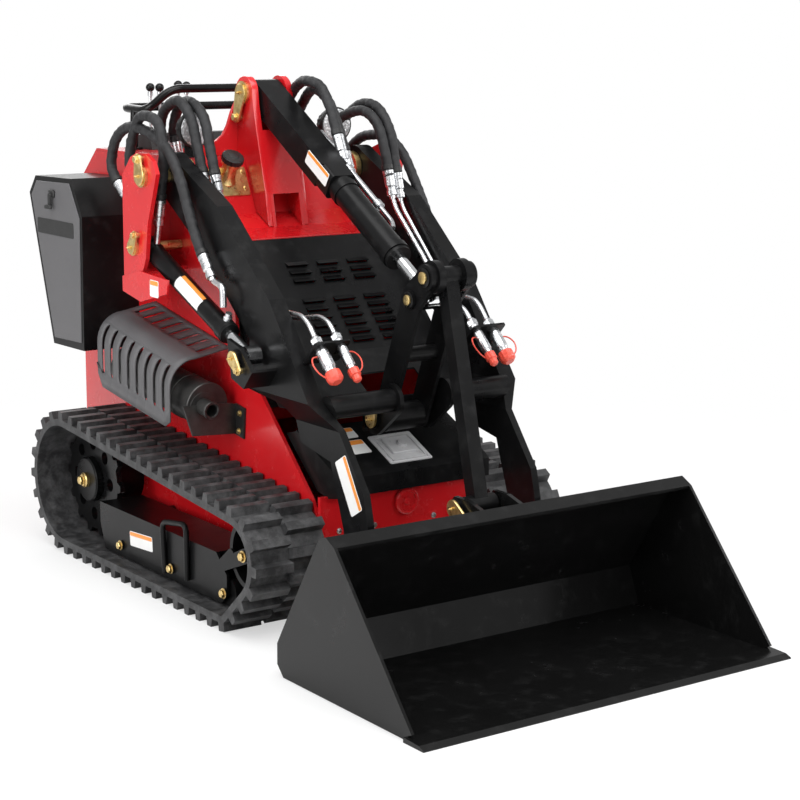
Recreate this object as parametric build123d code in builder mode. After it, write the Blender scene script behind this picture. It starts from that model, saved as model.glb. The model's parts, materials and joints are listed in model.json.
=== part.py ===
from build123d import *
from math import acos, atan2, cos, degrees, hypot, pi, radians, sin
import os

os.makedirs("parts", exist_ok=True)

# Frame: X is positive to the right of a viewer in front of the bucket, Y runs from the bucket (negative)
# to the operator's end (positive), Z is up from the floor. Millimetres. Side profiles are (y, z) points.

# Clearances
running_gap = 5
seat_gap = 0.3
bore_gap = 0.3
hub_gap = 0.5

# Linkage pivots in the side view, arms down and bucket flat on the floor
pivot_arm = (401, 1124)
pivot_lift_base = (454, 927)
pivot_lift_rod = (-83, 695)
pivot_tower = (432, 1341)
pivot_rocker = (-244, 528)
pivot_tilt_rod = (-370, 852)
pivot_link_top = (-437, 915)
pivot_link_low = (-575, 357)
pivot_bucket = (-449, 140)
pivot_platform = (1098, 250)

# Body
body_half_width = 262
side_plate = 10
belly_height = 118
belly_plate = 12
front_plate_y = -258
front_plate = 12
front_plate_top = 345
rear_plate_y = 1056
rear_plate = 10
deck_plate = 6
cover_half_width = body_half_width - 22
cover_plate = 4
plug_height = 305
plug_radius = 30

# Rubber tracks: belt surface circles round sprocket, idler and front roller
track_gap = 6
track_inner_x = body_half_width + track_gap
track_width = 222
belt_thick = 19
lug_height = 23
lug_pitch = 60
lug_length = 28
lug_draft = 4
sprocket_centre = (775, 212)
sprocket_belt_radius = 188
idler_centre = (-180, 202)
idler_belt_radius = 114
nose_centre = (-135, 62)
nose_belt_radius = 39
roller_places = [-79, 204, 498]
roller_radius = 37
frame_inset = 38
frame_width = 136
frame_inner_x = track_inner_x + frame_inset
frame_outer_x = frame_inner_x + frame_width
frame_plate = 8

# Lift arms
arm_gap = 20
arm_width = 46
leg_step = 29
leg_width = 20
arm_inner_x = body_half_width + arm_gap
arm_outer_x = arm_inner_x + arm_width
leg_inner_x = arm_inner_x - leg_step
leg_outer_x = leg_inner_x + leg_width
shoulder_height = 602
waist_height = 535
arm_hub_radius = 62
leg_hub_radius = 50
bracket_gap = 64
bracket_plate = 12
bracket_inner_x = arm_outer_x + bracket_gap
bracket_outer_x = bracket_inner_x + bracket_plate
cross_tube_centre = (-319, 590)
cross_tube_radius = 30
arm_ear_inner_x = 75
arm_ear_outer_x = 87

# Pins
arm_pin_radius = 20
lift_pin_radius = 13
tilt_pin_radius = 16
bucket_pin_radius = 16
platform_pin_radius = 8
pin_head = 8

# Cylinders
lift_x = (arm_outer_x + bracket_inner_x) / 2
lift_barrel_radius = 27
lift_bore_radius = 22
lift_rod_radius = 15
lift_barrel_length = 470
lift_rod_length = 430
lift_eye_radius = 28
lift_eye_half = 20
tilt_barrel_radius = 36
tilt_bore_radius = 31
tilt_rod_radius = 16.5
tilt_barrel_length = 774
tilt_rod_length = 430
tilt_eye_half = 40
tilt_box_depth = 72
gland_length = 30
piston_length = 25

# Tilt linkage plates
rocker_inner_x = 52
rocker_outer_x = 62
link_tube_half = 47
link_half_width = 20
bucket_ear_inner_x = 55
bucket_ear_outer_x = 67
tower_ear_inner_x = 46
tower_ear_outer_x = 66

# Bucket
bucket_half_width = 550
edge_half_width = 559
bucket_plate = 8
edge_front_y = -1120
edge_back_y = -1044
edge_thick = 10


# Helpers for side profiles

def polar(centre, radius, angle):
    """Point at an angle in degrees on a circle in the side view."""
    return (centre[0] + radius * cos(radians(angle)), centre[1] + radius * sin(radians(angle)))


def parallel(path, distance):
    """Mitred parallel of an open path, on the right hand of its travel."""
    normals = []
    for (y0, z0), (y1, z1) in zip(path, path[1:]):
        run = hypot(y1 - y0, z1 - z0)
        normals.append(((z1 - z0) / run, (y0 - y1) / run))
    before = [normals[0]] + normals
    after = normals + [normals[-1]]
    moved = []
    for (y, z), (ay, az), (by, bz) in zip(path, before, after):
        share = distance / (1 + ay * by + az * bz)
        moved.append((y + share * (ay + by), z + share * (az + bz)))
    return moved


def on_slope(start, end, along, height):
    """Point a distance along the line from start to end and a height off its left hand."""
    run = hypot(end[0] - start[0], end[1] - start[1])
    dy = (end[0] - start[0]) / run
    dz = (end[1] - start[1]) / run
    return (start[0] + along * dy - height * dz, start[1] + along * dz + height * dy)


def slab(outline, x0, x1, mode=Mode.ADD):
    """Side outline as a solid between two X planes."""
    with BuildSketch(Plane.YZ.offset(x0)) as profile:
        with BuildLine():
            Polyline(*outline, close=True)
        make_face()
    extrude(profile.sketch, amount=x1 - x0, mode=mode)


def sheet(path, thickness, x0, x1, mode=Mode.ADD):
    """Bent plate whose outer face follows a path, its thickness on the right hand of its travel."""
    slab(path + parallel(path, thickness)[::-1], x0, x1, mode)


def block(y0, y1, z0, z1, x0, x1, mode=Mode.ADD):
    """Square block between two planes in each direction."""
    slab([(y0, z0), (y1, z0), (y1, z1), (y0, z1)], x0, x1, mode)


def disc(centre, radius, x0, x1, mode=Mode.ADD):
    """Round solid along X."""
    with BuildSketch(Plane.YZ.offset(x0)) as profile:
        with Locations(centre):
            Circle(radius)
    extrude(profile.sketch, amount=x1 - x0, mode=mode)


def rounded(circles, x0, x1, mode=Mode.ADD):
    """Solid whose side outline wraps round circles given as (centre, radius)."""
    with BuildSketch(Plane.YZ.offset(x0)) as profile:
        for centre, radius in circles:
            with Locations(centre):
                Circle(radius)
        make_hull(profile.edges())
    extrude(profile.sketch, amount=x1 - x0, mode=mode)


def strut(start, end, radius, near, far, x, mode=Mode.ADD):
    """Round solid in the side plane at x, between two distances from start towards end."""
    lie = Plane(origin=(x, *start), z_dir=(0, end[0] - start[0], end[1] - start[1]))
    with BuildSketch(lie.offset(near)) as profile:
        Circle(radius)
    extrude(profile.sketch, amount=far - near, mode=mode)


def front_face(outline, y_back, depth, mode=Mode.ADD):
    """Front outline of (x, z) points as a solid from y_back towards the bucket."""
    with BuildSketch(Plane.XZ.offset(-y_back)) as profile:
        with BuildLine():
            Polyline(*outline, close=True)
        make_face()
    extrude(profile.sketch, amount=depth, mode=mode)


# Red top sheet, from the hood's top edge over the deck to the rear wall
hood_top = (176, 962)
top_path = [hood_top, (304, 976), (371, 1010), (441, 1165), (956, 1165), (rear_plate_y, 1076)]
deck_height = top_path[3][1]

# Chassis frame: side plates, belly, front plate with its plug, rear wall, engine bearers
deck_drop = deck_plate + seat_gap
corner_run = top_path[5][0] - top_path[4][0]
corner_fall = top_path[4][1] - top_path[5][1]
corner_drop = deck_drop * hypot(corner_run, corner_fall) / corner_run
side_outline = parallel(top_path, deck_drop)[:-1] + [(rear_plate_y, top_path[5][1] - corner_drop)]
side_outline += [(rear_plate_y, belly_height), (front_plate_y + front_plate, belly_height)]
side_outline += [(front_plate_y + front_plate, 285), (-218, 332), (151, 684)]
bearer_places = [540, 840]
bearer_width = 50
bearer_height = 420
bearer_depth = 40
inner_half_width = body_half_width - side_plate
lug_half_gap = body_half_width - 72
lug_plate = 12
lug_hole_radius = 15
tie_lug_centre = (1100, 420)

with BuildPart() as chassis_frame:
    slab(side_outline, inner_half_width, body_half_width)
    slab(side_outline, -body_half_width, -inner_half_width)
    block(front_plate_y + front_plate, rear_plate_y, belly_height, belly_height + belly_plate,
          -inner_half_width, inner_half_width)
    block(front_plate_y, front_plate_y + front_plate, belly_height, front_plate_top,
          -body_half_width, body_half_width)
    block(rear_plate_y, rear_plate_y + rear_plate, belly_height, top_path[-1][1] - 2 * deck_plate,
          -body_half_width, body_half_width)
    for bearer in bearer_places:
        block(bearer - bearer_width / 2, bearer + bearer_width / 2, bearer_height - bearer_depth,
              bearer_height, -inner_half_width, inner_half_width)
    for side in (-1, 1):
        near, far = sorted((side * lug_half_gap, side * (lug_half_gap + lug_plate)))
        rounded([(pivot_platform, 16), ((1068, 215), 6), ((1068, 290), 6)], near, far)
        disc(pivot_platform, platform_pin_radius + bore_gap, near, far, Mode.SUBTRACT)
        rounded([(tie_lug_centre, 18), ((1068, 385), 6), ((1068, 455), 6)], near, far)
        disc(tie_lug_centre, lug_hole_radius, near, far, Mode.SUBTRACT)
    with BuildSketch(Plane.XZ.offset(-front_plate_y)) as plug_seat:
        with Locations((0, plug_height)):
            Circle(plug_radius)
    extrude(plug_seat.sketch, amount=6)
chassis_frame.part.label = "chassis_frame"
export_step(chassis_frame.part, "parts/chassis_frame.step")

with BuildPart() as top_deck:
    sheet(top_path, deck_plate, -body_half_width, body_half_width)
top_deck.part.label = "top_deck"
export_step(top_deck.part, "parts/top_deck.step")

# Uprights: outer plates that hold the arm and lift cylinder pins, tied to the body behind the arms
upright_outline = [(382, 1186), (342, 1168), (324, 1134), (348, 1070), (376, 1000), (392, 900)]
upright_outline += [(412, 862), (520, 840), (520, 1120), (470, 1172), (430, 1186)]
upright_web = 10

with BuildPart() as uprights:
    slab(upright_outline, bracket_inner_x, bracket_outer_x)
    block(520 - upright_web, 520, 845, 1115, body_half_width + seat_gap, bracket_inner_x)
    sheet([(520, 850), (415, 872)][::-1], upright_web, body_half_width + seat_gap, bracket_inner_x)
    disc(pivot_arm, arm_pin_radius + bore_gap, bracket_inner_x, bracket_outer_x, Mode.SUBTRACT)
    disc(pivot_lift_base, lift_pin_radius + bore_gap, bracket_inner_x, bracket_outer_x, Mode.SUBTRACT)
    mirror(about=Plane.YZ)
uprights.part.label = "uprights"
export_step(uprights.part, "parts/uprights.step")

# Pins of the arms and lift cylinders, with spacer bosses and flag heads
with BuildPart() as chassis_pins:
    disc(pivot_arm, 45, body_half_width + seat_gap, arm_inner_x - 2)
    disc(pivot_arm, arm_pin_radius, body_half_width + seat_gap, bracket_outer_x + pin_head)
    disc(pivot_arm, arm_pin_radius + 10, bracket_outer_x + seat_gap, bracket_outer_x + pin_head)
    disc(pivot_lift_base, lift_pin_radius, body_half_width + seat_gap, bracket_outer_x + pin_head)
    disc(pivot_lift_base, lift_pin_radius + 10, bracket_outer_x + seat_gap, bracket_outer_x + pin_head)
    mirror(about=Plane.YZ)
chassis_pins.part.label = "chassis_pins"
export_step(chassis_pins.part, "parts/chassis_pins.step")

# Tower for the tilt cylinder: two ears on the sloped plates and a bell shaped plate behind them
ear_outline = [top_path[1], top_path[2], top_path[3], (500, deck_height)]
ear_outline = [(y, z + seat_gap * 2) for y, z in ear_outline]
ear_outline += [(486, 1330), polar(pivot_tower, 50, 30), polar(pivot_tower, 50, 90)]
ear_outline += [polar(pivot_tower, 50, 150), (352, 1200)]
bell_outline = [(-206, deck_height + seat_gap), (-206, 1200), (-150, 1222), (-112, 1280)]
bell_outline += [(-tower_ear_outer_x, 1310), (-tower_ear_inner_x, 1310), (-tower_ear_inner_x, 1215)]
bell_outline += [(-x, z) for x, z in bell_outline[::-1]]
bell_back_y = 500
bell_plate = 12

with BuildPart() as tilt_tower:
    slab(ear_outline, tower_ear_inner_x, tower_ear_outer_x)
    slab(ear_outline, -tower_ear_outer_x, -tower_ear_inner_x)
    front_face(bell_outline, bell_back_y, bell_plate)
    disc(pivot_tower, tilt_pin_radius + bore_gap, -tower_ear_outer_x, tower_ear_outer_x, Mode.SUBTRACT)
tilt_tower.part.label = "tilt_tower"
export_step(tilt_tower.part, "parts/tilt_tower.step")

# Louvred hood: shelf with its lip, 46 degree slope with pressed louvres, and cheeks down to the side plates
shelf_back = (-89, 684)
shelf_front = (-229, 595)
shelf_lip = (-229, 555)
notch_half_width = 95
louvre_pitch = 27
louvre_length = 66
louvre_columns = [-98, 0, 98]
louvre_rows = [3.15, 4.15, 5.15, 7.65, 8.65, 9.65, 10.65, 11.65, 12.65]
louvre_rise = 9
louvre_depth = 17
hood_path = [shelf_lip, shelf_front, shelf_back, on_slope(hood_top, shelf_back, cover_plate + 2 * seat_gap, 0)]
cheek_outline = parallel(hood_path, cover_plate) + [(170, 720), (-25, 540), (-225, 555)]

with BuildPart() as louvred_hood:
    sheet(hood_path, cover_plate, -cover_half_width, cover_half_width)
    slab(cheek_outline, cover_half_width - cover_plate, cover_half_width)
    slab(cheek_outline, -cover_half_width, cover_plate - cover_half_width)
    block(shelf_lip[0] - 1, -165, 500, 680, -notch_half_width, notch_half_width, Mode.SUBTRACT)
    for row in louvre_rows:
        distance = row * louvre_pitch
        for column in louvre_columns:
            left = column - louvre_length / 2
            right = column + louvre_length / 2
            slot = [on_slope(hood_top, shelf_back, distance + along, height)
                    for along, height in ((2, -9), (louvre_depth, -9), (louvre_depth, 9), (2, 9))]
            flap = [on_slope(hood_top, shelf_back, distance + along, -height)
                    for along, height in ((-2, -3), (0, 0), (louvre_depth, louvre_rise),
                                          (louvre_depth, louvre_rise - 3), (3, -3))]
            slab(slot, left, right, Mode.SUBTRACT)
            slab(flap, left, right)
louvred_hood.part.label = "louvred_hood"
export_step(louvred_hood.part, "parts/louvred_hood.step")

# Lower front cover: slanted plate, beam and cheeks, carried on the front plate
cover_path = [(front_plate_y - seat_gap, 340), (-309, 350), (-309, 398), (-289, 411), (-109, 494)]
cover_cheek = parallel(cover_path, cover_plate) + [(-60, 478), (-210, 350)]

with BuildPart() as front_cover:
    sheet(cover_path, cover_plate, -cover_half_width, cover_half_width)
    slab(cover_cheek, cover_half_width - cover_plate, cover_half_width)
    slab(cover_cheek, -cover_half_width, cover_plate - cover_half_width)
    block(front_plate_y - 1, front_plate_y + front_plate + 1, 300, front_plate_top + seat_gap,
          -cover_half_width, cover_half_width, Mode.SUBTRACT)
front_cover.part.label = "front_cover"
export_step(front_cover.part, "parts/front_cover.step")

# Recessed paddle latch on the slanted cover
latch_half_width = 64
latch_start = 40
latch_length = 120
latch_frame = 3
latch_lie = (cover_path[3], cover_path[4])
latch_plate = [on_slope(*latch_lie, along, height) for along, height in
               ((latch_start, seat_gap), (latch_start + latch_length, seat_gap),
                (latch_start + latch_length, latch_frame), (latch_start, latch_frame))]
latch_paddle = [on_slope(*latch_lie, along, height) for along, height in
                ((latch_start + 25, latch_frame), (latch_start + 95, latch_frame),
                 (latch_start + 90, latch_frame + 4), (latch_start + 35, latch_frame + 10))]

with BuildPart() as paddle_latch:
    slab(latch_plate, -latch_half_width, latch_half_width)
    slab(latch_paddle, -latch_half_width / 2, latch_half_width / 2)
paddle_latch.part.label = "paddle_latch"
export_step(paddle_latch.part, "parts/paddle_latch.step")

# Engine, one plain block on the bearers
with BuildPart() as engine_block:
    block(500, 900, bearer_height + seat_gap, 960, -180, 180)
engine_block.part.label = "engine_block"
export_step(engine_block.part, "parts/engine_block.step")

# Side boxes beside the engine bay
box_outline = [(709, 606), (702, 991), (769, 1094), (1001, 1089), (1045, 1037), (907, 603)]
box_width = 178
box_outer_x = body_half_width + box_width
with BuildPart() as side_boxes:
    slab(box_outline, body_half_width + seat_gap, box_outer_x)
    mirror(about=Plane.YZ)
side_boxes.part.label = "side_boxes"
export_step(side_boxes.part, "parts/side_boxes.step")

# Operator's console on the deck
console_height = 1232
console_outline = [(800, deck_height + seat_gap), (950, deck_height + seat_gap), (950, 1195), (820, console_height)]
console_half_width = body_half_width - 47
with BuildPart() as rear_console:
    slab(console_outline, -console_half_width, console_half_width)
rear_console.part.label = "rear_console"
export_step(rear_console.part, "parts/rear_console.step")

# Control levers: rods with ball knobs, each (x, knob height)
levers = [(-195, 1352), (-166, 1355), (-104, 1356), (-77, 1352), (77, 1352), (104, 1356), (166, 1355)]
lever_y = 850
lever_radius = 5
knob_radius = 13
with BuildPart() as control_levers:
    for lever_x, knob_height in levers:
        foot = 1225.3
        with BuildSketch(Plane.XY.offset(foot)) as lever_profile:
            with Locations((lever_x, lever_y)):
                Circle(lever_radius)
        extrude(lever_profile.sketch, amount=knob_height - foot)
        with Locations((lever_x, lever_y, knob_height)):
            Sphere(knob_radius)
control_levers.part.label = "control_levers"
export_step(control_levers.part, "parts/control_levers.step")

# Handle bars on the side boxes: front bar with a raised middle, rear bar straight
bar_radius = 12.5
bar_x = body_half_width + 21
bar_middle_x = 127
bar_bend = 45
front_bar = [(-bar_x, 790, 1094), (-bar_x, 750, 1294), (-bar_middle_x, 741, 1348)]
front_bar += [(-x, y, z) for x, y, z in front_bar[::-1]]
rear_bar = [(-bar_x, 980, 1090.5), (-bar_x, 980, 1292), (bar_x, 980, 1292), (bar_x, 980, 1090.5)]
with BuildPart() as handle_bars:
    for route in (front_bar, rear_bar):
        with BuildLine() as bar_path:
            FilletPolyline(*route, radius=bar_bend)
        with BuildSketch(Plane(origin=bar_path.line @ 0, z_dir=bar_path.line % 0)) as bar_profile:
            Circle(bar_radius)
        sweep(bar_profile.sketch, path=bar_path.line)
    slab(box_outline, body_half_width + seat_gap, box_outer_x, Mode.SUBTRACT)
    slab(box_outline, -box_outer_x, -body_half_width - seat_gap, Mode.SUBTRACT)
handle_bars.part.label = "handle_bars"
export_step(handle_bars.part, "parts/handle_bars.step")

# Work lights on posts at the deck's front corners, open in front, with their lenses inside
light_x = body_half_width - 41
light_radius = 54
light_height = 1243
light_front_y = 412
light_depth = 75
light_wall = 4
lens_thick = 4
with BuildPart() as work_lights:
    for side in (-1, 1):
        with BuildSketch(Plane.XZ.offset(-light_front_y - light_depth)) as light_profile:
            with Locations((side * light_x, light_height)):
                Circle(light_radius)
        extrude(light_profile.sketch, amount=light_depth)
        with BuildSketch(Plane.XZ.offset(-light_front_y - 25)) as light_mouth:
            with Locations((side * light_x, light_height)):
                Circle(light_radius - light_wall)
        extrude(light_mouth.sketch, amount=25, mode=Mode.SUBTRACT)
        block(light_front_y + 35, light_front_y + 60, deck_height + seat_gap, light_height - light_radius + 8,
              side * light_x - 15, side * light_x + 15)
work_lights.part.label = "work_lights"
export_step(work_lights.part, "parts/work_lights.step")

with BuildPart() as lamp_lenses:
    for side in (-1, 1):
        with BuildSketch(Plane.XZ.offset(-light_front_y - 10)) as lens_profile:
            with Locations((side * light_x, light_height)):
                Circle(light_radius - light_wall - seat_gap)
        extrude(lens_profile.sketch, amount=lens_thick)
lamp_lenses.part.label = "lamp_lenses"
export_step(lamp_lenses.part, "parts/lamp_lenses.step")

# Fuel filler on the steep red plate
filler_x = -120
filler_lie = (top_path[2], top_path[3])
filler_plate = [on_slope(*filler_lie, along, height) for along, height in
                ((45, seat_gap), (125, seat_gap), (125, 4), (45, 4))]
with BuildPart() as filler_neck:
    slab(filler_plate, -185, -73)
    strut(on_slope(*filler_lie, 100, 0), on_slope(*filler_lie, 140, 80), 26, 1, 52, filler_x)
    strut(on_slope(*filler_lie, 100, 0), on_slope(*filler_lie, 140, 80), 36, 52, 82, filler_x)
    slab([on_slope(*filler_lie, along, height) for along, height in
          ((-20, seat_gap), (200, seat_gap), (200, -60), (-20, -60))], -190, -60, Mode.SUBTRACT)
filler_neck.part.label = "filler_neck"
export_step(filler_neck.part, "parts/filler_neck.step")

# Muffler on the left side, with its outlet pipe and bracket
muffler_x = -body_half_width - 90
muffler_radius = 60
muffler_ends = [(160, 528), (600, 572)]
muffler_run = hypot(muffler_ends[1][0] - muffler_ends[0][0], muffler_ends[1][1] - muffler_ends[0][1])
with BuildPart() as muffler:
    strut(*muffler_ends, muffler_radius, 0, muffler_run, muffler_x)
    strut(*muffler_ends, 22, -50, 0, muffler_x - 14)
    strut(*muffler_ends, 17, -50, -5, muffler_x - 14, Mode.SUBTRACT)
    for place in (250, 520):
        block(place, place + 30, 535, 560, muffler_x, -body_half_width - seat_gap)
muffler.part.label = "muffler"
export_step(muffler.part, "parts/muffler.step")

# Slotted guard round the muffler: outer face and sloping top
guard_width = 188
guard_outer_x = -body_half_width - guard_width
guard_plate = 4
guard_face = [(641, 647), (652, 547), (258, 457), (227, 479), (203, 610)]
slot_count = 9
slot_pitch = 40
slot_width = 16
with BuildPart() as muffler_guard:
    slab(guard_face, guard_outer_x, guard_outer_x + guard_plate)
    sheet([guard_face[4], guard_face[0]], guard_plate, guard_outer_x, -body_half_width - seat_gap)
    for number in range(slot_count):
        start = 40 + number * slot_pitch
        side_slot = [on_slope(guard_face[4], guard_face[0], along, -height) for along, height in
                     ((start, 25), (start + slot_width, 25), (start + slot_width, 95), (start, 95))]
        top_slot = [on_slope(guard_face[4], guard_face[0], along, -height) for along, height in
                    ((start, -2), (start + slot_width, -2), (start + slot_width, 8), (start, 8))]
        slab(side_slot, guard_outer_x - 1, guard_outer_x + guard_plate + 1, Mode.SUBTRACT)
        slab(top_slot, guard_outer_x + 25, guard_outer_x + 150, Mode.SUBTRACT)
muffler_guard.part.label = "muffler_guard"
export_step(muffler_guard.part, "parts/muffler_guard.step")

# Rubber tracks: a belt round three circles, with two staggered rows of lugs in its outline
belt_circles = [(sprocket_centre, sprocket_belt_radius), (idler_centre, idler_belt_radius)]
belt_circles += [(nose_centre, nose_belt_radius)]
belt_runs = []
tangent_angles = []
for ((y0, z0), r0), ((y1, z1), r1) in zip(belt_circles, belt_circles[1:] + belt_circles[:1]):
    heading = atan2(z1 - z0, y1 - y0)
    tangent_angles.append(heading - acos((r0 - r1) / hypot(y1 - y0, z1 - z0)))
for number, ((centre, radius), angle) in enumerate(zip(belt_circles, tangent_angles)):
    following, next_radius = belt_circles[(number + 1) % 3]
    next_angle = tangent_angles[(number + 1) % 3]
    leave = polar(centre, radius, degrees(angle))
    arrive = polar(following, next_radius, degrees(angle))
    turn = (next_angle - angle) % (2 * pi)
    belt_runs.append((hypot(arrive[0] - leave[0], arrive[1] - leave[1]), leave, angle, None, 0))
    belt_runs.append((turn * next_radius, arrive, angle, following, next_radius))
belt_length = sum(run[0] for run in belt_runs)
lug_count = round(belt_length / lug_pitch)
lug_step = belt_length / lug_count


def belt_point(distance, height):
    """Point a distance round the belt's outer surface and a height above it."""
    distance = distance % belt_length
    for length, start, angle, centre, radius in belt_runs:
        if distance <= length:
            break
        distance -= length
    if centre is None:
        foot = (start[0] - distance * sin(angle), start[1] + distance * cos(angle))
        return (foot[0] + height * cos(angle), foot[1] + height * sin(angle))
    return polar(centre, radius + height, degrees(angle + distance / radius))


def lug_row(offset, x0, x1):
    """One row of lugs with the belt under it, the lugs shifted round the loop by offset."""
    outline = []
    for number in range(lug_count):
        start = number * lug_step + offset
        outline.append(belt_point(start, 0))
        outline.append(belt_point(start + lug_draft, lug_height))
        outline.append(belt_point(start + lug_length - lug_draft, lug_height))
        outline.append(belt_point(start + lug_length, 0))
        outline.append(belt_point(start + (lug_length + lug_step) / 2, 0))
    slab(outline, x0, x1)
    inner = [(centre, radius - belt_thick) for centre, radius in belt_circles]
    rounded(inner, x0, x1, Mode.SUBTRACT)


track_middle_x = track_inner_x + track_width / 2
track_outer_x = track_inner_x + track_width
with BuildPart() as track_right:
    lug_row(0, track_inner_x, track_middle_x)
    lug_row(lug_step / 2, track_middle_x, track_outer_x)
track_right.part.label = "track_right"
export_step(track_right.part, "parts/track_right.step")

with BuildPart() as track_left:
    lug_row(lug_step / 2, -track_outer_x, -track_middle_x)
    lug_row(0, -track_middle_x, -track_inner_x)
track_left.part.label = "track_left"
export_step(track_left.part, "parts/track_left.step")

# Track frames: outer and inner plates with a top plate, and tubes from the body
frame_outline = [(-36, 181), (628, 181), (628, 120), (600, 48), (-60, 48), (-89, 75), (-89, 130)]
frame_tube_places = [(60, 140), (520, 140)]
frame_tube_radius = 26
axle_radius = 10
with BuildPart() as track_frames:
    slab(frame_outline, frame_outer_x - frame_plate, frame_outer_x)
    slab(frame_outline, frame_inner_x, frame_inner_x + frame_plate)
    block(-36, 628, 181 - frame_plate, 181, frame_inner_x, frame_outer_x)
    for place in frame_tube_places:
        disc(place, frame_tube_radius, body_half_width + seat_gap, frame_inner_x)
    rounded([((-110, 190), 16), ((-60, 150), 16)], frame_outer_x - frame_plate, frame_outer_x)
    rounded([((-180, 202), 20), ((-60, 150), 16)], frame_outer_x - frame_plate, frame_outer_x)
    rounded([((-180, 202), 20), ((-60, 150), 16)], frame_inner_x, frame_inner_x + frame_plate)
    for place in roller_places:
        disc((place, 80), axle_radius + bore_gap, frame_inner_x, frame_outer_x, Mode.SUBTRACT)
    disc(idler_centre, axle_radius + bore_gap, frame_inner_x, frame_outer_x, Mode.SUBTRACT)
    mirror(about=Plane.YZ)
track_frames.part.label = "track_frames"
export_step(track_frames.part, "parts/track_frames.step")

# Rollers and idlers on their axles between the frame plates
roller_inner_x = frame_inner_x + frame_plate + running_gap
roller_outer_x = frame_outer_x - frame_plate - running_gap
idler_radius = idler_belt_radius - belt_thick - seat_gap
with BuildPart() as rollers:
    for place in roller_places:
        disc((place, 80), roller_radius, roller_inner_x, roller_outer_x)
        disc((place, 80), axle_radius, frame_inner_x, frame_outer_x + 4)
    mirror(about=Plane.YZ)
rollers.part.label = "rollers"
export_step(rollers.part, "parts/rollers.step")

with BuildPart() as idlers:
    disc(idler_centre, idler_radius, roller_inner_x, roller_outer_x)
    disc(idler_centre, idler_radius - 14, roller_inner_x, roller_inner_x + 35, Mode.SUBTRACT)
    disc(idler_centre, idler_radius - 14, roller_outer_x - 35, roller_outer_x, Mode.SUBTRACT)
    disc(idler_centre, 26, roller_inner_x, roller_outer_x)
    disc(idler_centre, axle_radius, frame_inner_x, frame_outer_x + 4)
    mirror(about=Plane.YZ)
idlers.part.label = "idlers"
export_step(idlers.part, "parts/idlers.step")

# Drive sprockets with lightening holes and teeth, on the drive motors' hubs
sprocket_inset = 104
sprocket_inner_x = track_inner_x + sprocket_inset
sprocket_thick = 16
sprocket_disc_radius = 150
tooth_count = 14
tooth_tip_radius = sprocket_belt_radius - belt_thick - seat_gap
hole_count = 8
hole_radius = 19
hole_circle = 105
hub_radius = 62
motor_radius = 78
with BuildPart() as sprockets:
    disc(sprocket_centre, sprocket_disc_radius, sprocket_inner_x, sprocket_inner_x + sprocket_thick)
    for number in range(tooth_count):
        middle = number * 360 / tooth_count
        tooth = [polar(sprocket_centre, sprocket_disc_radius - 3, middle - 7)]
        tooth.append(polar(sprocket_centre, tooth_tip_radius, middle - 3))
        tooth.append(polar(sprocket_centre, tooth_tip_radius, middle + 3))
        tooth.append(polar(sprocket_centre, sprocket_disc_radius - 3, middle + 7))
        slab(tooth, sprocket_inner_x, sprocket_inner_x + sprocket_thick)
    for number in range(hole_count):
        disc(polar(sprocket_centre, hole_circle, number * 360 / hole_count), hole_radius,
             sprocket_inner_x, sprocket_inner_x + sprocket_thick, Mode.SUBTRACT)
    disc(sprocket_centre, hub_radius, sprocket_inner_x + sprocket_thick, sprocket_inner_x + 40)
    mirror(about=Plane.YZ)
sprockets.part.label = "sprockets"
export_step(sprockets.part, "parts/sprockets.step")

with BuildPart() as drive_motors:
    disc(sprocket_centre, motor_radius, body_half_width + seat_gap, sprocket_inner_x - seat_gap)
    mirror(about=Plane.YZ)
drive_motors.part.label = "drive_motors"
export_step(drive_motors.part, "parts/drive_motors.step")

# Lift arms: one side outline cut to a front profile that steps in from the arm to the leg
arm_outline = [polar(pivot_arm, arm_hub_radius, 103), (133, 1060), (86, 1022), (-123, 844), (-306, 602)]
arm_outline += [(-362, 535), (-469, 396), (-488, 320), polar(pivot_bucket, leg_hub_radius, 183)]
arm_outline += [polar(pivot_bucket, leg_hub_radius, 5), (-381, 288), (-322, 453), (-184, 479)]
arm_outline += [(-144, 576), (-16, 597), (-26, 729), (230, 945), polar(pivot_arm, arm_hub_radius, -44)]
arm_front = [(arm_inner_x, 1300), (arm_outer_x, 1300), (arm_outer_x, shoulder_height)]
arm_front += [(leg_outer_x, waist_height), (leg_outer_x, 0), (leg_inner_x, 0)]
arm_front += [(leg_inner_x, waist_height), (arm_inner_x, shoulder_height)]
bracket_outline = [(-40, 740), (-102, 725), (-162, 668), (-120, 621), (-60, 640)]
bracket_web = 8
arm_span = 600

with BuildPart() as arm_right:
    slab(arm_outline, leg_inner_x - 5, arm_outer_x + 5)
    front_face(arm_front, arm_span, 2 * arm_span, Mode.INTERSECT)
    disc(pivot_arm, arm_hub_radius, arm_inner_x, arm_outer_x)
    disc(pivot_bucket, leg_hub_radius, leg_inner_x, leg_outer_x)
    slab(bracket_outline, bracket_inner_x, bracket_outer_x)
    sheet([bracket_outline[3], bracket_outline[2]], bracket_web, arm_outer_x, bracket_inner_x)
    disc(pivot_lift_rod, lift_pin_radius + 10, bracket_outer_x, bracket_outer_x + pin_head)
    disc(pivot_arm, arm_pin_radius + bore_gap, arm_inner_x, arm_outer_x, Mode.SUBTRACT)
    disc(pivot_bucket, bucket_pin_radius + bore_gap, leg_inner_x, leg_outer_x, Mode.SUBTRACT)
arm_right.part.label = "arm_right"
export_step(arm_right.part, "parts/arm_right.step")

with BuildPart() as arm_left:
    add(arm_right.part.mirror(Plane.YZ))
arm_left.part.label = "arm_left"
export_step(arm_left.part, "parts/arm_left.step")

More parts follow.
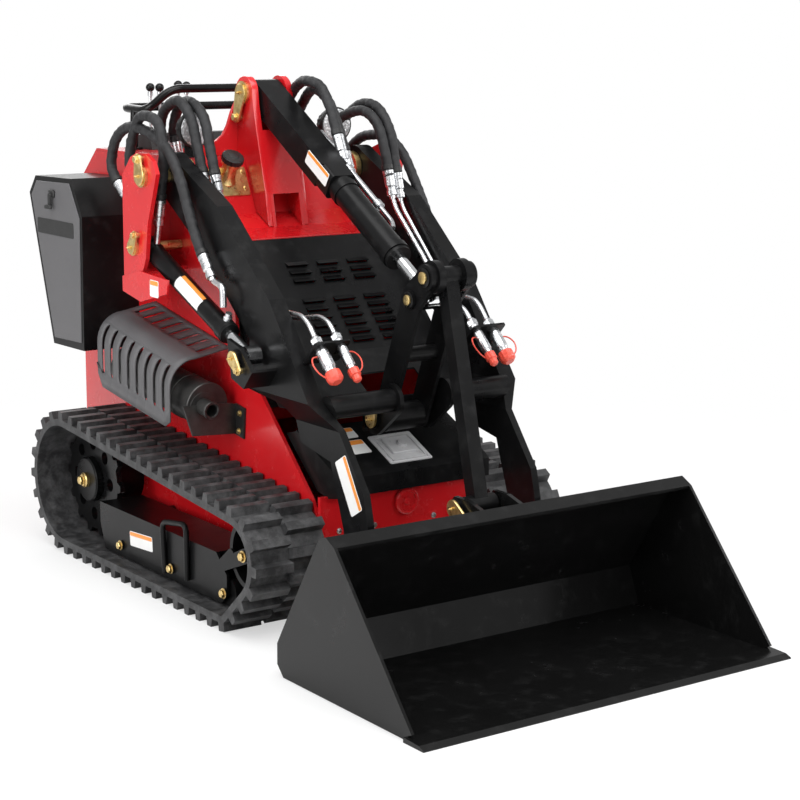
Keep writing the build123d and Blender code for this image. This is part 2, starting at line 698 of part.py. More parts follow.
# Cross member between the arms, with the ears that hold the rocker
arm_face = [(x - seat_gap, z) for x, z in (arm_front[0], arm_front[7], arm_front[6], arm_front[5])]
arm_face += [(arm_outer_x + 50, 0), (arm_outer_x + 50, 1300)]
tie_plate_front = -201
tie_plate_back = -191
with BuildPart() as arm_cross_tubes:
    disc(cross_tube_centre, cross_tube_radius, arm_ear_inner_x, arm_outer_x)
    front_face(arm_face, arm_span, 2 * arm_span, Mode.SUBTRACT)
    rounded([(cross_tube_centre, 42), (pivot_rocker, 40), ((-205, 530), 14)], arm_ear_inner_x, arm_ear_outer_x)
    mirror(about=Plane.YZ)
    block(tie_plate_front, tie_plate_back, 490, 570, -arm_ear_outer_x, arm_ear_outer_x)
    for side in (-1, 1):
        near, far = sorted((side * arm_ear_inner_x, side * arm_ear_outer_x))
        disc(pivot_rocker, tilt_pin_radius + bore_gap, near, far, Mode.SUBTRACT)
arm_cross_tubes.part.label = "arm_cross_tubes"
export_step(arm_cross_tubes.part, "parts/arm_cross_tubes.step")

# Lift cylinders: bored barrel with its base eye, and rod with piston and eye
lift_run = hypot(pivot_lift_rod[0] - pivot_lift_base[0], pivot_lift_rod[1] - pivot_lift_base[1])
lift_line = (pivot_lift_base, pivot_lift_rod)
with BuildPart() as lift_barrel_right:
    strut(*lift_line, lift_barrel_radius, 22, lift_barrel_length, lift_x)
    disc(pivot_lift_base, lift_eye_radius, lift_x - lift_eye_half, lift_x + lift_eye_half)
    strut(*lift_line, lift_bore_radius, 50, lift_barrel_length - gland_length, lift_x, Mode.SUBTRACT)
    strut(*lift_line, lift_rod_radius + bore_gap, 50, lift_barrel_length, lift_x, Mode.SUBTRACT)
    disc(pivot_lift_base, lift_pin_radius + bore_gap, lift_x - 30, lift_x + 30, Mode.SUBTRACT)
lift_barrel_right.part.label = "lift_barrel_right"
export_step(lift_barrel_right.part, "parts/lift_barrel_right.step")

with BuildPart() as lift_barrel_left:
    add(lift_barrel_right.part.mirror(Plane.YZ))
lift_barrel_left.part.label = "lift_barrel_left"
export_step(lift_barrel_left.part, "parts/lift_barrel_left.step")

lift_tail = lift_run - lift_rod_length
with BuildPart() as lift_rod_right:
    strut(*lift_line, lift_rod_radius, lift_tail, lift_run - lift_eye_radius + 5, lift_x)
    strut(*lift_line, lift_bore_radius - bore_gap, lift_tail, lift_tail + piston_length, lift_x)
    disc(pivot_lift_rod, lift_eye_radius, lift_x - lift_eye_half, lift_x + lift_eye_half)
    disc(pivot_lift_rod, lift_pin_radius, lift_x - lift_eye_half - 6, lift_x + lift_eye_half + 6)
lift_rod_right.part.label = "lift_rod_right"
export_step(lift_rod_right.part, "parts/lift_rod_right.step")

with BuildPart() as lift_rod_left:
    add(lift_rod_right.part.mirror(Plane.YZ))
lift_rod_left.part.label = "lift_rod_left"
export_step(lift_rod_left.part, "parts/lift_rod_left.step")

# Tilt cylinder between tower and rocker: trunnion pin, barrel with a square rear section, rod
tilt_line = (pivot_tower, pivot_tilt_rod)
tilt_run = hypot(pivot_tilt_rod[0] - pivot_tower[0], pivot_tilt_rod[1] - pivot_tower[1])
tilt_box = [on_slope(*tilt_line, along, height) for along, height in
            ((0, -tilt_box_depth / 2), (400, -tilt_box_depth / 2),
             (400, tilt_box_depth / 2), (0, tilt_box_depth / 2))]
pin_washer_radius = 32
with BuildPart() as tilt_trunnion:
    disc(pivot_tower, tilt_pin_radius, -tower_ear_outer_x - pin_head, tower_ear_outer_x + pin_head)
    disc(pivot_tower, pin_washer_radius, tower_ear_outer_x + seat_gap, tower_ear_outer_x + pin_head)
    disc(pivot_tower, pin_washer_radius, -tower_ear_outer_x - pin_head, -tower_ear_outer_x - seat_gap)
tilt_trunnion.part.label = "tilt_trunnion"
export_step(tilt_trunnion.part, "parts/tilt_trunnion.step")

with BuildPart() as tilt_barrel:
    slab(tilt_box, -tilt_eye_half, tilt_eye_half)
    disc(pivot_tower, tilt_box_depth / 2, -tilt_eye_half, tilt_eye_half)
    strut(*tilt_line, tilt_barrel_radius, 400, tilt_barrel_length, 0)
    strut(*tilt_line, tilt_bore_radius, 430, tilt_barrel_length - gland_length, 0, Mode.SUBTRACT)
    strut(*tilt_line, tilt_rod_radius + bore_gap, 430, tilt_barrel_length, 0, Mode.SUBTRACT)
    disc(pivot_tower, tilt_pin_radius + bore_gap, -tilt_eye_half, tilt_eye_half, Mode.SUBTRACT)
tilt_barrel.part.label = "tilt_barrel"
export_step(tilt_barrel.part, "parts/tilt_barrel.step")

tilt_tail = tilt_run - tilt_rod_length
tilt_rod_eye_radius = 28
tilt_rod_eye_half = 25
with BuildPart() as tilt_rod:
    strut(*tilt_line, tilt_rod_radius, tilt_tail, tilt_run - tilt_rod_eye_radius + 5, 0)
    strut(*tilt_line, tilt_bore_radius - bore_gap, tilt_tail, tilt_tail + piston_length, 0)
    disc(pivot_tilt_rod, tilt_rod_eye_radius, -tilt_rod_eye_half, tilt_rod_eye_half)
    disc(pivot_tilt_rod, tilt_pin_radius, -rocker_inner_x + running_gap, rocker_inner_x - running_gap)
tilt_rod.part.label = "tilt_rod"
export_step(tilt_rod.part, "parts/tilt_rod.step")

# Rocker: two plates on a pin through the arms' ears, tied by a tube
rocker_tie = (-312, 702)
rocker_end_radius = 36
rocker_nose_radius = 34
with BuildPart() as rocker_pin:
    disc(pivot_rocker, tilt_pin_radius, -arm_ear_outer_x - pin_head, arm_ear_outer_x + pin_head)
    disc(pivot_rocker, rocker_end_radius, hub_gap - rocker_inner_x, rocker_inner_x - hub_gap)
    disc(pivot_rocker, 24, arm_ear_outer_x + seat_gap, arm_ear_outer_x + pin_head)
    disc(pivot_rocker, 24, -arm_ear_outer_x - pin_head, -arm_ear_outer_x - seat_gap)
rocker_pin.part.label = "rocker_pin"
export_step(rocker_pin.part, "parts/rocker_pin.step")

with BuildPart() as rocker:
    for side in (-1, 1):
        near, far = sorted((side * rocker_inner_x, side * rocker_outer_x))
        rounded([(pivot_rocker, rocker_end_radius), (pivot_tilt_rod, 40)], near, far)
        rounded([(pivot_tilt_rod, 40), (pivot_link_top, rocker_nose_radius)], near, far)
        disc(pivot_rocker, tilt_pin_radius + bore_gap, near, far, Mode.SUBTRACT)
        disc(pivot_link_top, tilt_pin_radius + bore_gap, near, far, Mode.SUBTRACT)
        near, far = sorted((side * rocker_outer_x, side * (rocker_outer_x + pin_head - 1)))
        disc(pivot_tilt_rod, 24, near, far)
    disc(rocker_tie, 20, -rocker_inner_x, rocker_inner_x)
rocker.part.label = "rocker"
export_step(rocker.part, "parts/rocker.step")

link_collar_radius = 42
link_boss_half = tilt_rod_eye_half + running_gap
with BuildPart() as link_pin:
    disc(pivot_link_top, tilt_pin_radius, -rocker_outer_x - pin_head, rocker_outer_x + pin_head)
    for side in (-1, 1):
        near, far = sorted((side * (rocker_outer_x + seat_gap), side * (rocker_outer_x + pin_head)))
        disc(pivot_link_top, rocker_nose_radius, near, far)
        near, far = sorted((side * (link_boss_half + hub_gap), side * (rocker_inner_x - hub_gap)))
        disc(pivot_link_top, link_collar_radius, near, far)
link_pin.part.label = "link_pin"
export_step(link_pin.part, "parts/link_pin.step")

link_tube_radius = 25
link_bar_radius = 19
with BuildPart() as link:
    rounded([(pivot_link_top, link_bar_radius), (pivot_link_low, link_bar_radius)],
            -link_half_width, link_half_width)
    disc(pivot_link_top, link_tube_radius, -link_boss_half, link_boss_half)
    disc(pivot_link_low, link_tube_radius, -link_tube_half, link_tube_half)
    disc(pivot_link_top, tilt_pin_radius + bore_gap, -link_boss_half, link_boss_half, Mode.SUBTRACT)
link.part.label = "link"
export_step(link.part, "parts/link.step")

# Bucket: side plates, back wall, floor, folded rim, cutting edge, ears for the link and the arms
bucket_side = [(-759, 370), (-724, 388), (-695, 376), (-511, 81), (-511, 29), (-538, 2)]
bucket_side += [(-1031, 2), (-1063, 20)]
bucket_hollow = [(-1300, 2 + bucket_plate), (-580, 2 + bucket_plate), (-541, 108), (-702, 366)]
bucket_hollow += [(-724, 379), (-757, 361), (-775, 420), (-1300, 420)]
edge_outline = [(edge_front_y, 0), (edge_back_y, 0), (edge_back_y, edge_thick + 2)]
edge_outline += [(edge_front_y + 18, edge_thick), (edge_front_y, 3)]
link_ear = [(-689, 366), (-620, 385), polar(pivot_link_low, 30, 70), polar(pivot_link_low, 30, 10)]
link_ear += [polar(pivot_link_low, 30, -50), (-578, 220), (-596, 218)]
hinge_ear = [(-590, 208), (-468, 184), polar(pivot_bucket, 36, 60), polar(pivot_bucket, 36, 0)]
hinge_ear += [polar(pivot_bucket, 36, -60), (-511, 60), (-511, 81)]
ear_thick = 12
hinge_ear_gap = running_gap
hinge_ears = [(leg_inner_x - hinge_ear_gap - ear_thick, leg_inner_x - hinge_ear_gap),
              (leg_outer_x + hinge_ear_gap, leg_outer_x + hinge_ear_gap + ear_thick)]
with BuildPart() as bucket:
    slab(bucket_side, -bucket_half_width, bucket_half_width)
    slab(bucket_hollow, bucket_plate - bucket_half_width, bucket_half_width - bucket_plate, Mode.SUBTRACT)
    slab(edge_outline, -edge_half_width, edge_half_width)
    for side in (-1, 1):
        near, far = sorted((side * bucket_ear_inner_x, side * bucket_ear_outer_x))
        slab(link_ear, near, far)
        near, far = sorted((side * bucket_ear_outer_x, side * (bucket_ear_outer_x + pin_head)))
        disc(pivot_link_low, 24, near, far)
        for inner, outer in hinge_ears:
            near, far = sorted((side * inner, side * outer))
            slab(hinge_ear, near, far)
            disc(pivot_bucket, bucket_pin_radius + bore_gap, near, far, Mode.SUBTRACT)
bucket.part.label = "bucket"
export_step(bucket.part, "parts/bucket.step")

cross_shaft_radius = 21
with BuildPart() as bucket_pins:
    disc(pivot_bucket, bucket_pin_radius, hinge_ears[0][0] - pin_head, hinge_ears[1][1] + pin_head)
    disc(pivot_bucket, bucket_pin_radius + 8, hinge_ears[1][1] + seat_gap, hinge_ears[1][1] + pin_head)
    disc(pivot_bucket, cross_shaft_radius, 0, hinge_ears[0][0] - hub_gap)
    mirror(about=Plane.YZ)
bucket_pins.part.label = "bucket_pins"
export_step(bucket_pins.part, "parts/bucket_pins.step")

# Fold-up operator's platform at the rear
platform_half_width = lug_half_gap - running_gap
platform_height = 420
platform_thick = 10
platform_lip = 24
with BuildPart() as platform:
    disc(pivot_platform, 14, -platform_half_width, platform_half_width)
    block(pivot_platform[0] - 14, pivot_platform[0] - 14 + platform_thick, pivot_platform[1],
          pivot_platform[1] + platform_height, -platform_half_width, platform_half_width)
    block(pivot_platform[0] - 14, pivot_platform[0] - 14 + platform_lip,
          pivot_platform[1] + platform_height - platform_thick, pivot_platform[1] + platform_height,
          -platform_half_width, platform_half_width)
    disc(pivot_platform, platform_pin_radius, -platform_half_width - 14, platform_half_width + 14)
platform.part.label = "platform"
export_step(platform.part, "parts/platform.step")
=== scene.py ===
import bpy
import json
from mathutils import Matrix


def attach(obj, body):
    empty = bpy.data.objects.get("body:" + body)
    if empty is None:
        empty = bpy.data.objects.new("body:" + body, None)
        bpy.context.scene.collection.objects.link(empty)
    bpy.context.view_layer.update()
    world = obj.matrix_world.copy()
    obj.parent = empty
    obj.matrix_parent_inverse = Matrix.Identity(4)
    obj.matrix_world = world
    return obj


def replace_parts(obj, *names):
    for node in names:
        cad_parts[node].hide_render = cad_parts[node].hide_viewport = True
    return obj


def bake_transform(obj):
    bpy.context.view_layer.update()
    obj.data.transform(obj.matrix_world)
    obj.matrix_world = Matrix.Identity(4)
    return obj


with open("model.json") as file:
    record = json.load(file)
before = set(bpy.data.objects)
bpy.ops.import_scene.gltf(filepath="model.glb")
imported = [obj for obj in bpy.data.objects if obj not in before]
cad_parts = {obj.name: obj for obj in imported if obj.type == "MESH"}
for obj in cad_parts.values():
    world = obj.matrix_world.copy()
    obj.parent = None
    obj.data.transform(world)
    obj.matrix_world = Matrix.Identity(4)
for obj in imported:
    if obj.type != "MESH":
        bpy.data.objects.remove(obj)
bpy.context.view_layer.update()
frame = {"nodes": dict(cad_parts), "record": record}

import json
import math

import bpy
import numpy as np
from mathutils import Matrix

nodes = frame["nodes"]
print("frame loaded:", len(nodes), "nodes")


# shader bench: expressions on sockets, and one way to make any node

class Sock:
    # a socket that takes part in expressions
    def __init__(self, bench, socket):
        self.bench = bench
        self.socket = socket

    def maths(self, operation, first, second):
        return self.bench.node("ShaderNodeMath", {"operation": operation}, {0: first, 1: second})["Value"]

    def __add__(self, other):
        return self.maths("ADD", self, other)

    def __radd__(self, other):
        return self.maths("ADD", other, self)

    def __mul__(self, other):
        return self.maths("MULTIPLY", self, other)

    def __rmul__(self, other):
        return self.maths("MULTIPLY", other, self)


class Made:
    # a node whose outputs are read by name
    def __init__(self, bench, node):
        self.bench = bench
        self.node = node

    def __getitem__(self, name):
        return Sock(self.bench, self.node.outputs[name])


class Bench:
    # one node tree
    def __init__(self, owner):
        owner.use_nodes = True
        self.tree = owner.node_tree
        self.tree.nodes.clear()

    def feed(self, socket, value):
        if isinstance(value, Sock):
            self.tree.links.new(value.socket, socket)
        elif isinstance(value, (tuple, list)) and len(value) == 3 and socket.type == "RGBA":
            socket.default_value = (*value, 1)
        else:
            socket.default_value = value

    def node(self, kind, settings=None, inputs=None):
        made = self.tree.nodes.new(kind)
        for name, value in (settings or {}).items():
            setattr(made, name, value)
        for name, value in (inputs or {}).items():
            self.feed(made.inputs[name], value)
        return Made(self, made)

    def noise(self, scale, detail=3, roughness=0.5, stretch=(1, 1, 1)):
        place = self.node("ShaderNodeTexCoord")["Object"]
        if stretch != (1, 1, 1):
            place = self.node("ShaderNodeMapping", {}, {"Vector": place, "Scale": stretch})["Vector"]
        return self.node("ShaderNodeTexNoise", {}, {"Vector": place, "Scale": scale, "Detail": detail,
                                                    "Roughness": roughness})["Fac"]

    def blend(self, amount, first, second):
        mix = self.node("ShaderNodeMix", {"data_type": "RGBA"})
        for index, value in ((0, amount), (6, first), (7, second)):
            self.feed(mix.node.inputs[index], value)
        return Sock(self, mix.node.outputs[2])

    def clamp(self, value, low, high, newLow=0.0, newHigh=1.0):
        return self.node("ShaderNodeMapRange", {"clamp": True}, {
            "Value": value, "From Min": low, "From Max": high, "To Min": newLow, "To Max": newHigh})["Result"]

    def bump(self, height, strength, distance):
        return self.node("ShaderNodeBump", {}, {"Height": height, "Strength": strength,
                                                "Distance": distance})["Normal"]

    def finish(self, shader, kind="ShaderNodeOutputMaterial"):
        self.node(kind, {}, {"Surface": shader})


# each coat gives the values and links of its one principled shader

def paintCoat(bench, look):
    # powder coat: a broad drift of colour, an orange peel skin and a little dust in random patches
    drift = bench.noise(look["driftScale"], detail=4)
    dust = bench.clamp(bench.noise(23, detail=8, roughness=0.65), low=0.52, high=0.78)
    colour = bench.blend(drift, look["deep"], look["bright"])
    colour = bench.blend(dust * look["dust"], colour, look["dustColour"])
    skin = bench.noise(look["peelScale"], detail=2)
    rough = bench.clamp(drift, 0.3, 0.7, look["rough"] - 0.04, look["rough"] + 0.05) + dust * 0.1
    return {"Base Color": colour, "Roughness": rough, "Coat Weight": look["coat"], "Coat Roughness": 0.12,
            "Specular IOR Level": look["specular"],
            "Normal": bench.bump(skin, look["peel"], distance=0.0006)}


def metalCoat(bench, look):
    # plated or turned metal: fine streaks in the roughness and a faint colour drift
    drift = bench.noise(look["driftScale"], detail=5, roughness=0.6)
    streak = bench.noise(look["streakScale"], detail=3, roughness=0.6, stretch=look["streak"])
    colour = bench.blend(bench.clamp(drift, low=0.35, high=0.65), look["deep"], look["bright"])
    rough = bench.clamp(streak, 0.3, 0.7, look["rough"] - 0.05, look["rough"] + 0.08)
    return {"Base Color": colour, "Roughness": rough, "Metallic": look["metallic"],
            "Normal": bench.bump(streak, look["bump"], distance=0.0004)}


def rubberCoat(bench, look):
    # moulded rubber: dusty blotches over dark grey, with a fine grain
    blotch = bench.clamp(bench.noise(look["blotchScale"], detail=9, roughness=0.7), low=0.42, high=0.66)
    grain = bench.noise(look["grainScale"], detail=5, roughness=0.7)
    colour = bench.blend(blotch, look["deep"], look["bright"])
    rough = bench.clamp(blotch, 0, 1, look["rough"], look["rough"] + 0.15)
    return {"Base Color": colour, "Roughness": rough, "Specular IOR Level": 0.4,
            "Normal": bench.bump(grain * 0.6 + blotch * 0.4, look["bump"], distance=0.0012)}


def lampGlass(bench, look):
    # clear lens with faint vertical ribs
    place = bench.node("ShaderNodeTexCoord")["Object"]
    ribs = bench.node("ShaderNodeTexWave", {"wave_type": "BANDS", "bands_direction": "X"},
                      {"Vector": place, "Scale": look["ribScale"], "Distortion": look["waver"]})["Fac"]
    return {"Base Color": look["colour"], "Roughness": look["rough"], "Transmission Weight": look["clear"],
            "IOR": look["bending"], "Normal": bench.bump(ribs, look["bump"], distance=0.001)}


def lightFace(bench, look):
    # bright faceted reflector behind glass: pale cells with dark seams
    place = bench.node("ShaderNodeTexCoord")["Object"]
    cell = bench.node("ShaderNodeTexVoronoi", {}, {"Vector": place, "Scale": look["cellScale"]})
    shade = bench.clamp(cell["Distance"], low=0.1, high=0.6)
    colour = bench.blend(shade, look["pale"], look["seam"])
    return {"Base Color": colour, "Roughness": look["rough"], "Coat Weight": look["coat"],
            "Metallic": look["metallic"], "Normal": bench.bump(shade, look["bump"], distance=0.002)}


paintBase = {"coat": 0.0, "specular": 0.45, "dust": 0.05, "dustColour": (0.12, 0.12, 0.12)}
paintLooks = {
    "red_paint": dict(
        paintBase, deep=(0.50, 0.006, 0.010), bright=(0.66, 0.012, 0.016), rough=0.24, coat=0.35,
        specular=0.5, driftScale=5, peelScale=420, peel=0.10, dustColour=(0.45, 0.30, 0.26)),
    "black_paint": dict(
        paintBase, deep=(0.003, 0.003, 0.0035), bright=(0.007, 0.007, 0.007), rough=0.3, coat=0.02,
        specular=0.15, driftScale=6, peelScale=380, peel=0.14, dust=0.10, dustColour=(0.10, 0.10, 0.10)),
    "gloss_black": dict(
        paintBase, deep=(0.003, 0.003, 0.003), bright=(0.006, 0.006, 0.006), rough=0.2, coat=0.03,
        specular=0.22, driftScale=4, peelScale=320, peel=0.16, dust=0.06),
    "grey_paint": dict(
        paintBase, deep=(0.065, 0.064, 0.067), bright=(0.10, 0.098, 0.102), rough=0.5, driftScale=9,
        peelScale=600, peel=0.25, dust=0.2),
    "black_plastic": dict(
        paintBase, deep=(0.008, 0.008, 0.008), bright=(0.018, 0.018, 0.018), rough=0.45, driftScale=20,
        peelScale=900, peel=0.3, dust=0.1, dustColour=(0.1, 0.1, 0.1)),
    "red_plastic": dict(
        paintBase, deep=(0.62, 0.055, 0.035), bright=(0.78, 0.10, 0.06), rough=0.35, coat=0.1, specular=0.5,
        driftScale=30, peelScale=500, peel=0.1, dustColour=(0.7, 0.35, 0.3)),
    "label_white": dict(
        paintBase, deep=(0.74, 0.74, 0.73), bright=(0.82, 0.82, 0.81), rough=0.4, coat=0.1, specular=0.4,
        driftScale=40, peelScale=300, peel=0.05, dustColour=(0.6, 0.6, 0.58)),
}
for name, like, changed in (
    ("door_grey", "grey_paint", dict(deep=(0.085, 0.083, 0.087), bright=(0.112, 0.110, 0.114))),
    ("satin_silver", "label_white", dict(deep=(0.46, 0.46, 0.47), bright=(0.60, 0.60, 0.61), rough=0.3)),
    ("label_orange", "label_white", dict(deep=(0.80, 0.26, 0.03), bright=(0.86, 0.31, 0.05))),
):
    paintLooks[name] = dict(paintLooks[like], **changed)
metalBase = {"metallic": 1.0, "streak": (1, 1, 1)}
metalLooks = {
    "gold_zinc": dict(metalBase, deep=(0.58, 0.40, 0.15), bright=(0.86, 0.66, 0.30), rough=0.30,
                      metallic=0.95, driftScale=60, streakScale=90, bump=0.15),
    "bright_zinc": dict(metalBase, deep=(0.50, 0.51, 0.53), bright=(0.76, 0.77, 0.78), rough=0.28,
                        driftScale=70, streakScale=60, streak=(1, 6, 6), bump=0.12),
    "chrome_rod": dict(metalBase, deep=(0.72, 0.73, 0.75), bright=(0.88, 0.89, 0.90), rough=0.10,
                       driftScale=20, streakScale=200, bump=0.02),
    "cast_engine": dict(metalBase, deep=(0.04, 0.04, 0.04), bright=(0.09, 0.09, 0.09), rough=0.6,
                        metallic=0.6, driftScale=20, streakScale=120, bump=0.5),
    "exhaust_steel": dict(metalBase, deep=(0.035, 0.034, 0.034), bright=(0.08, 0.078, 0.075), rough=0.42,
                          metallic=0.7, driftScale=14, streakScale=150, bump=0.2),
}
rubberLooks = {
    "track_rubber": dict(deep=(0.020, 0.020, 0.021), bright=(0.075, 0.075, 0.077), rough=0.52,
                         blotchScale=26, grainScale=350, bump=0.5),
    "hose_rubber": dict(deep=(0.008, 0.008, 0.009), bright=(0.028, 0.028, 0.030), rough=0.55,
                        blotchScale=30, grainScale=900, bump=0.5),
}
glassLooks = {"lamp_glass": dict(colour=(0.93, 0.95, 0.97), rough=0.04, clear=0.85, bending=1.45,
                                 ribScale=60, waver=0.4, bump=0.25)}
faceLooks = {"light_face": dict(pale=(0.86, 0.87, 0.88), seam=(0.42, 0.43, 0.44), rough=0.12, coat=0.6,
                                metallic=0.15, cellScale=150, bump=0.5)}


def newFinish(name, coat, look):
    material = bpy.data.materials.new(name)
    bench = Bench(material)
    bench.finish(bench.node("ShaderNodeBsdfPrincipled", {}, coat(bench, look))["BSDF"])
    return material


finishes = {}
for coat, looks in ((paintCoat, paintLooks), (metalCoat, metalLooks), (rubberCoat, rubberLooks),
                    (lampGlass, glassLooks), (lightFace, faceLooks)):
    for finishName, look in looks.items():
        finishes[finishName] = newFinish(finishName, coat, look)

for subpart in frame["record"]["subparts"]:
    cadMesh = nodes[subpart["node"]].data
    cadMesh.materials.clear()
    cadMesh.materials.append(finishes[subpart["material_slot"]])
for name in ("rocker_pin", "link_pin"):  # the hubs are painted, their flags are plated
    nodes[name].data.materials.clear()
    nodes[name].data.materials.append(finishes["black_paint"])
print("finishes laid on")


# shape bench: a solid is a stack of closed rows of points, skinned and capped, in millimetres

mm = 0.001
slotNames = [material["slot"] for material in frame["record"]["materials"]]
axisX, axisY, axisZ = np.eye(3)
both = (-1, 1)  # a solid and its mirror image across the middle


def unit(vector):
    return np.asarray(vector, float) / np.linalg.norm(vector, axis=-1, keepdims=True)


def basis(out):
    # two directions square to out, the second the nearer to upright
    out = unit(out)
    across = unit(np.cross(axisZ if abs(out[2]) < 0.9 else axisY, out))
    return across, np.cross(out, across)


def volume(verts, faces):
    # six times the volume from the origin to each face's fan of triangles, summed
    first, second, third = verts[faces[:, :1]], verts[faces[:, 1:-1]], verts[faces[:, 2:]]
    return (np.cross(first, second) * third).sum()


def loft(rows, flat=False):
    # skin over the rows, closed by whole faces or by fans about the end rows' middles, facing outward
    rows = np.asarray(rows, float)
    count, around = rows.shape[:2]
    verts = np.concatenate([rows.reshape(-1, 3), rows[:1].mean(1), rows[-1:].mean(1)])
    here = np.arange(around)
    after = (here + 1) % around
    low = np.arange(count - 1)[:, None] * around
    high = low + around
    quads = np.stack([low + here, low + after, high + after, high + here], -1).reshape(-1, 4)
    last = (count - 1) * around
    if flat:
        verts = verts[:-2]
        caps = np.stack([here[::-1], last + here])
    else:
        foot = np.stack([after, here, np.full(around, count * around)], -1)
        head = np.stack([last + here, last + after, np.full(around, count * around + 1)], -1)
        caps = np.concatenate([foot, head])
    order = 1 if volume(verts, quads) + volume(verts, caps) > 0 else -1
    return verts, [quads[:, ::order], caps[:, ::order]]


def fullTurn(sides):
    return np.linspace(0, 2 * math.pi, sides, endpoint=False)


def circle(sides):
    return np.column_stack([np.cos(fullTurn(sides)), np.sin(fullTurn(sides))])


def turned(profile, start, out, sides=28, ribs=0, ribDepth=0.0):
    # profile of (along, radius) pairs spun about out, its radius waved by so many ribs round the turn
    profile = np.asarray(profile, float)
    across, up = basis(out)
    ring = circle(sides)
    wave = 1 + ribDepth * np.cos(ribs * fullTurn(sides))
    spokes = (ring[:, :1] * across + ring[:, 1:] * up) * wave[:, None]
    centres = np.asarray(start, float) + profile[:, :1] * unit(out)
    return loft(centres[:, None] + profile[:, 1, None, None] * spokes[None])


def curve(points, steps=10):
    # smooth line through the points: each span is the cubic whose end slopes are half its neighbours' chords
    points = np.asarray(points, float)
    padded = np.concatenate([2 * points[:1] - points[1:2], points, 2 * points[-1:] - points[-2:-1]])
    a, b, c, d = (padded[first:first + len(points) - 1, None] for first in range(4))
    t = np.linspace(0, 1, steps, endpoint=False)[None, :, None]
    square = (2 * a - 5 * b + 4 * c - d) * t ** 2
    cube = (3 * b - a - 3 * c + d) * t ** 3
    line = 0.5 * (2 * b + (c - a) * t + square + cube)
    return np.concatenate([line.reshape(-1, 3), points[-1:]])


def bent(points, radius, steps=8):
    # straight runs whose corners are rounded: each corner is the parabola through its two tangent points
    points = np.asarray(points, float)
    corner = points[1:-1]
    before = (corner - unit(corner - points[:-2]) * radius)[:, None]
    after = (corner + unit(points[2:] - corner) * radius)[:, None]
    t = np.linspace(0, 1, steps)[None, :, None]
    arcs = (1 - t) ** 2 * before + 2 * t * (1 - t) * corner[:, None] + t ** 2 * after
    return np.concatenate([points[:1], arcs.reshape(-1, 3), points[-1:]])


def tube(path, radius, sides=14):
    # circles along a path, turned about the direction that the path's own directions leave least used
    path = np.asarray(path, float)
    ahead = unit(np.gradient(path, axis=0))
    least = np.linalg.svd(ahead)[2][2]
    across = unit(np.cross(ahead, least))
    up = np.cross(across, ahead)
    ring = circle(sides)
    spokes = ring[None, :, :1] * across[:, None] + ring[None, :, 1:] * up[:, None]
    return loft(path[:, None] + np.broadcast_to(radius, (len(path), sides))[..., None] * spokes)


def prism(outline, place, across, up, depth, bevel):
    # flat outline raised off its place, its last row drawn in towards the middle by the bevel
    outline = np.asarray(outline, float)
    across, up = unit(across), unit(up)
    out = np.cross(across, up)
    middle = outline.mean(0)
    reach = np.linalg.norm(outline - middle, axis=1).mean()
    steps = [(0, 1.0), (depth - bevel, 1.0), (depth, 1 - bevel / reach)]
    rows = [np.asarray(place) + (middle + (outline - middle) * share) @ np.stack([across, up]) + height * out
            for height, share in steps]
    return loft(rows, True)


def roundBox(width, height, radius, steps=5):
    # quarter circles about the four corners' middles
    angle = np.linspace(0, math.pi / 2, steps)[None, :] + np.arange(4)[:, None] * math.pi / 2
    corner = np.array([(1, 1), (-1, 1), (-1, -1), (1, -1)])[:, None]
    middle = corner * (width / 2 - radius, height / 2 - radius)
    return (middle + radius * np.stack([np.cos(angle), np.sin(angle)], -1)).reshape(-1, 2)


def capsule(first, second, length, steps=12):
    # hull of a circle at the origin and one at length along the first axis
    spread = math.acos((first - second) / length)
    far = np.linspace(-spread, spread, steps)
    near = np.linspace(spread, 2 * math.pi - spread, steps)
    return np.concatenate([np.column_stack([length + second * np.cos(far), second * np.sin(far)]),
                           first * np.column_stack([np.cos(near), np.sin(near)])])


def newObject(name, data):
    thing = bpy.data.objects.new(name, data)
    bpy.context.scene.collection.objects.link(thing)
    return thing


def newPiece(name, verts, faces, body, finish, sharp):
    # mesh in metres, smooth but for edges sharper than so many degrees, in its finish and on its body
    mesh = bpy.data.meshes.new(name)
    mesh.from_pydata((verts * mm).tolist(), [], faces)
    mesh.shade_smooth()
    mesh.set_sharp_from_angle(angle=math.radians(sharp))
    piece = newObject(name, mesh)
    mesh.materials.append(finishes[finish])
    finish in slotNames
    if body:
        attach(piece, body)
    return piece


boltSet = {  # shares of the bolt's size
    "washer": [(0, 1.3), (0.18, 1.3), (0.22, 1.2)],
    "seat": 0.2, "height": 0.7, "edge": 0.14,
}


class Form:
    # solids of one piece, joined in one mesh
    def __init__(self):
        self.verts, self.faces, self.count = [], [], 0

    def add(self, solid, sides=(1,)):
        verts, skins = solid
        for side in sides:
            self.verts.append(verts * (side, 1, 1))
            self.faces += [skin[:, ::side] + self.count for skin in skins]
            self.count += len(verts)
        return self

    def bolt(self, place, out, size, sides=(1,)):
        # hexagon head on a round washer
        self.add(turned(np.array(boltSet["washer"]) * size, place, out, 20), sides)
        self.add(prism(circle(6) * size, np.asarray(place) + unit(out) * size * boltSet["seat"], *basis(out),
                       size * boltSet["height"], size * boltSet["edge"]), sides)
        return self

    def build(self, name, finish, body="chassis", sharp=32):
        faces = [face for skin in self.faces for face in skin.tolist()]
        return newPiece(name, np.concatenate(self.verts), faces, body, finish, sharp)


def solidPiece(name, finish, *solids, body="chassis", sides=(1,)):
    # a few solids as one piece
    form = Form()
    for solid in solids:
        form.add(solid, sides)
    return form.build(name, finish, body)


# pins' gold flags, each ((y, z) of the pin, x of its face, heading, length, size)

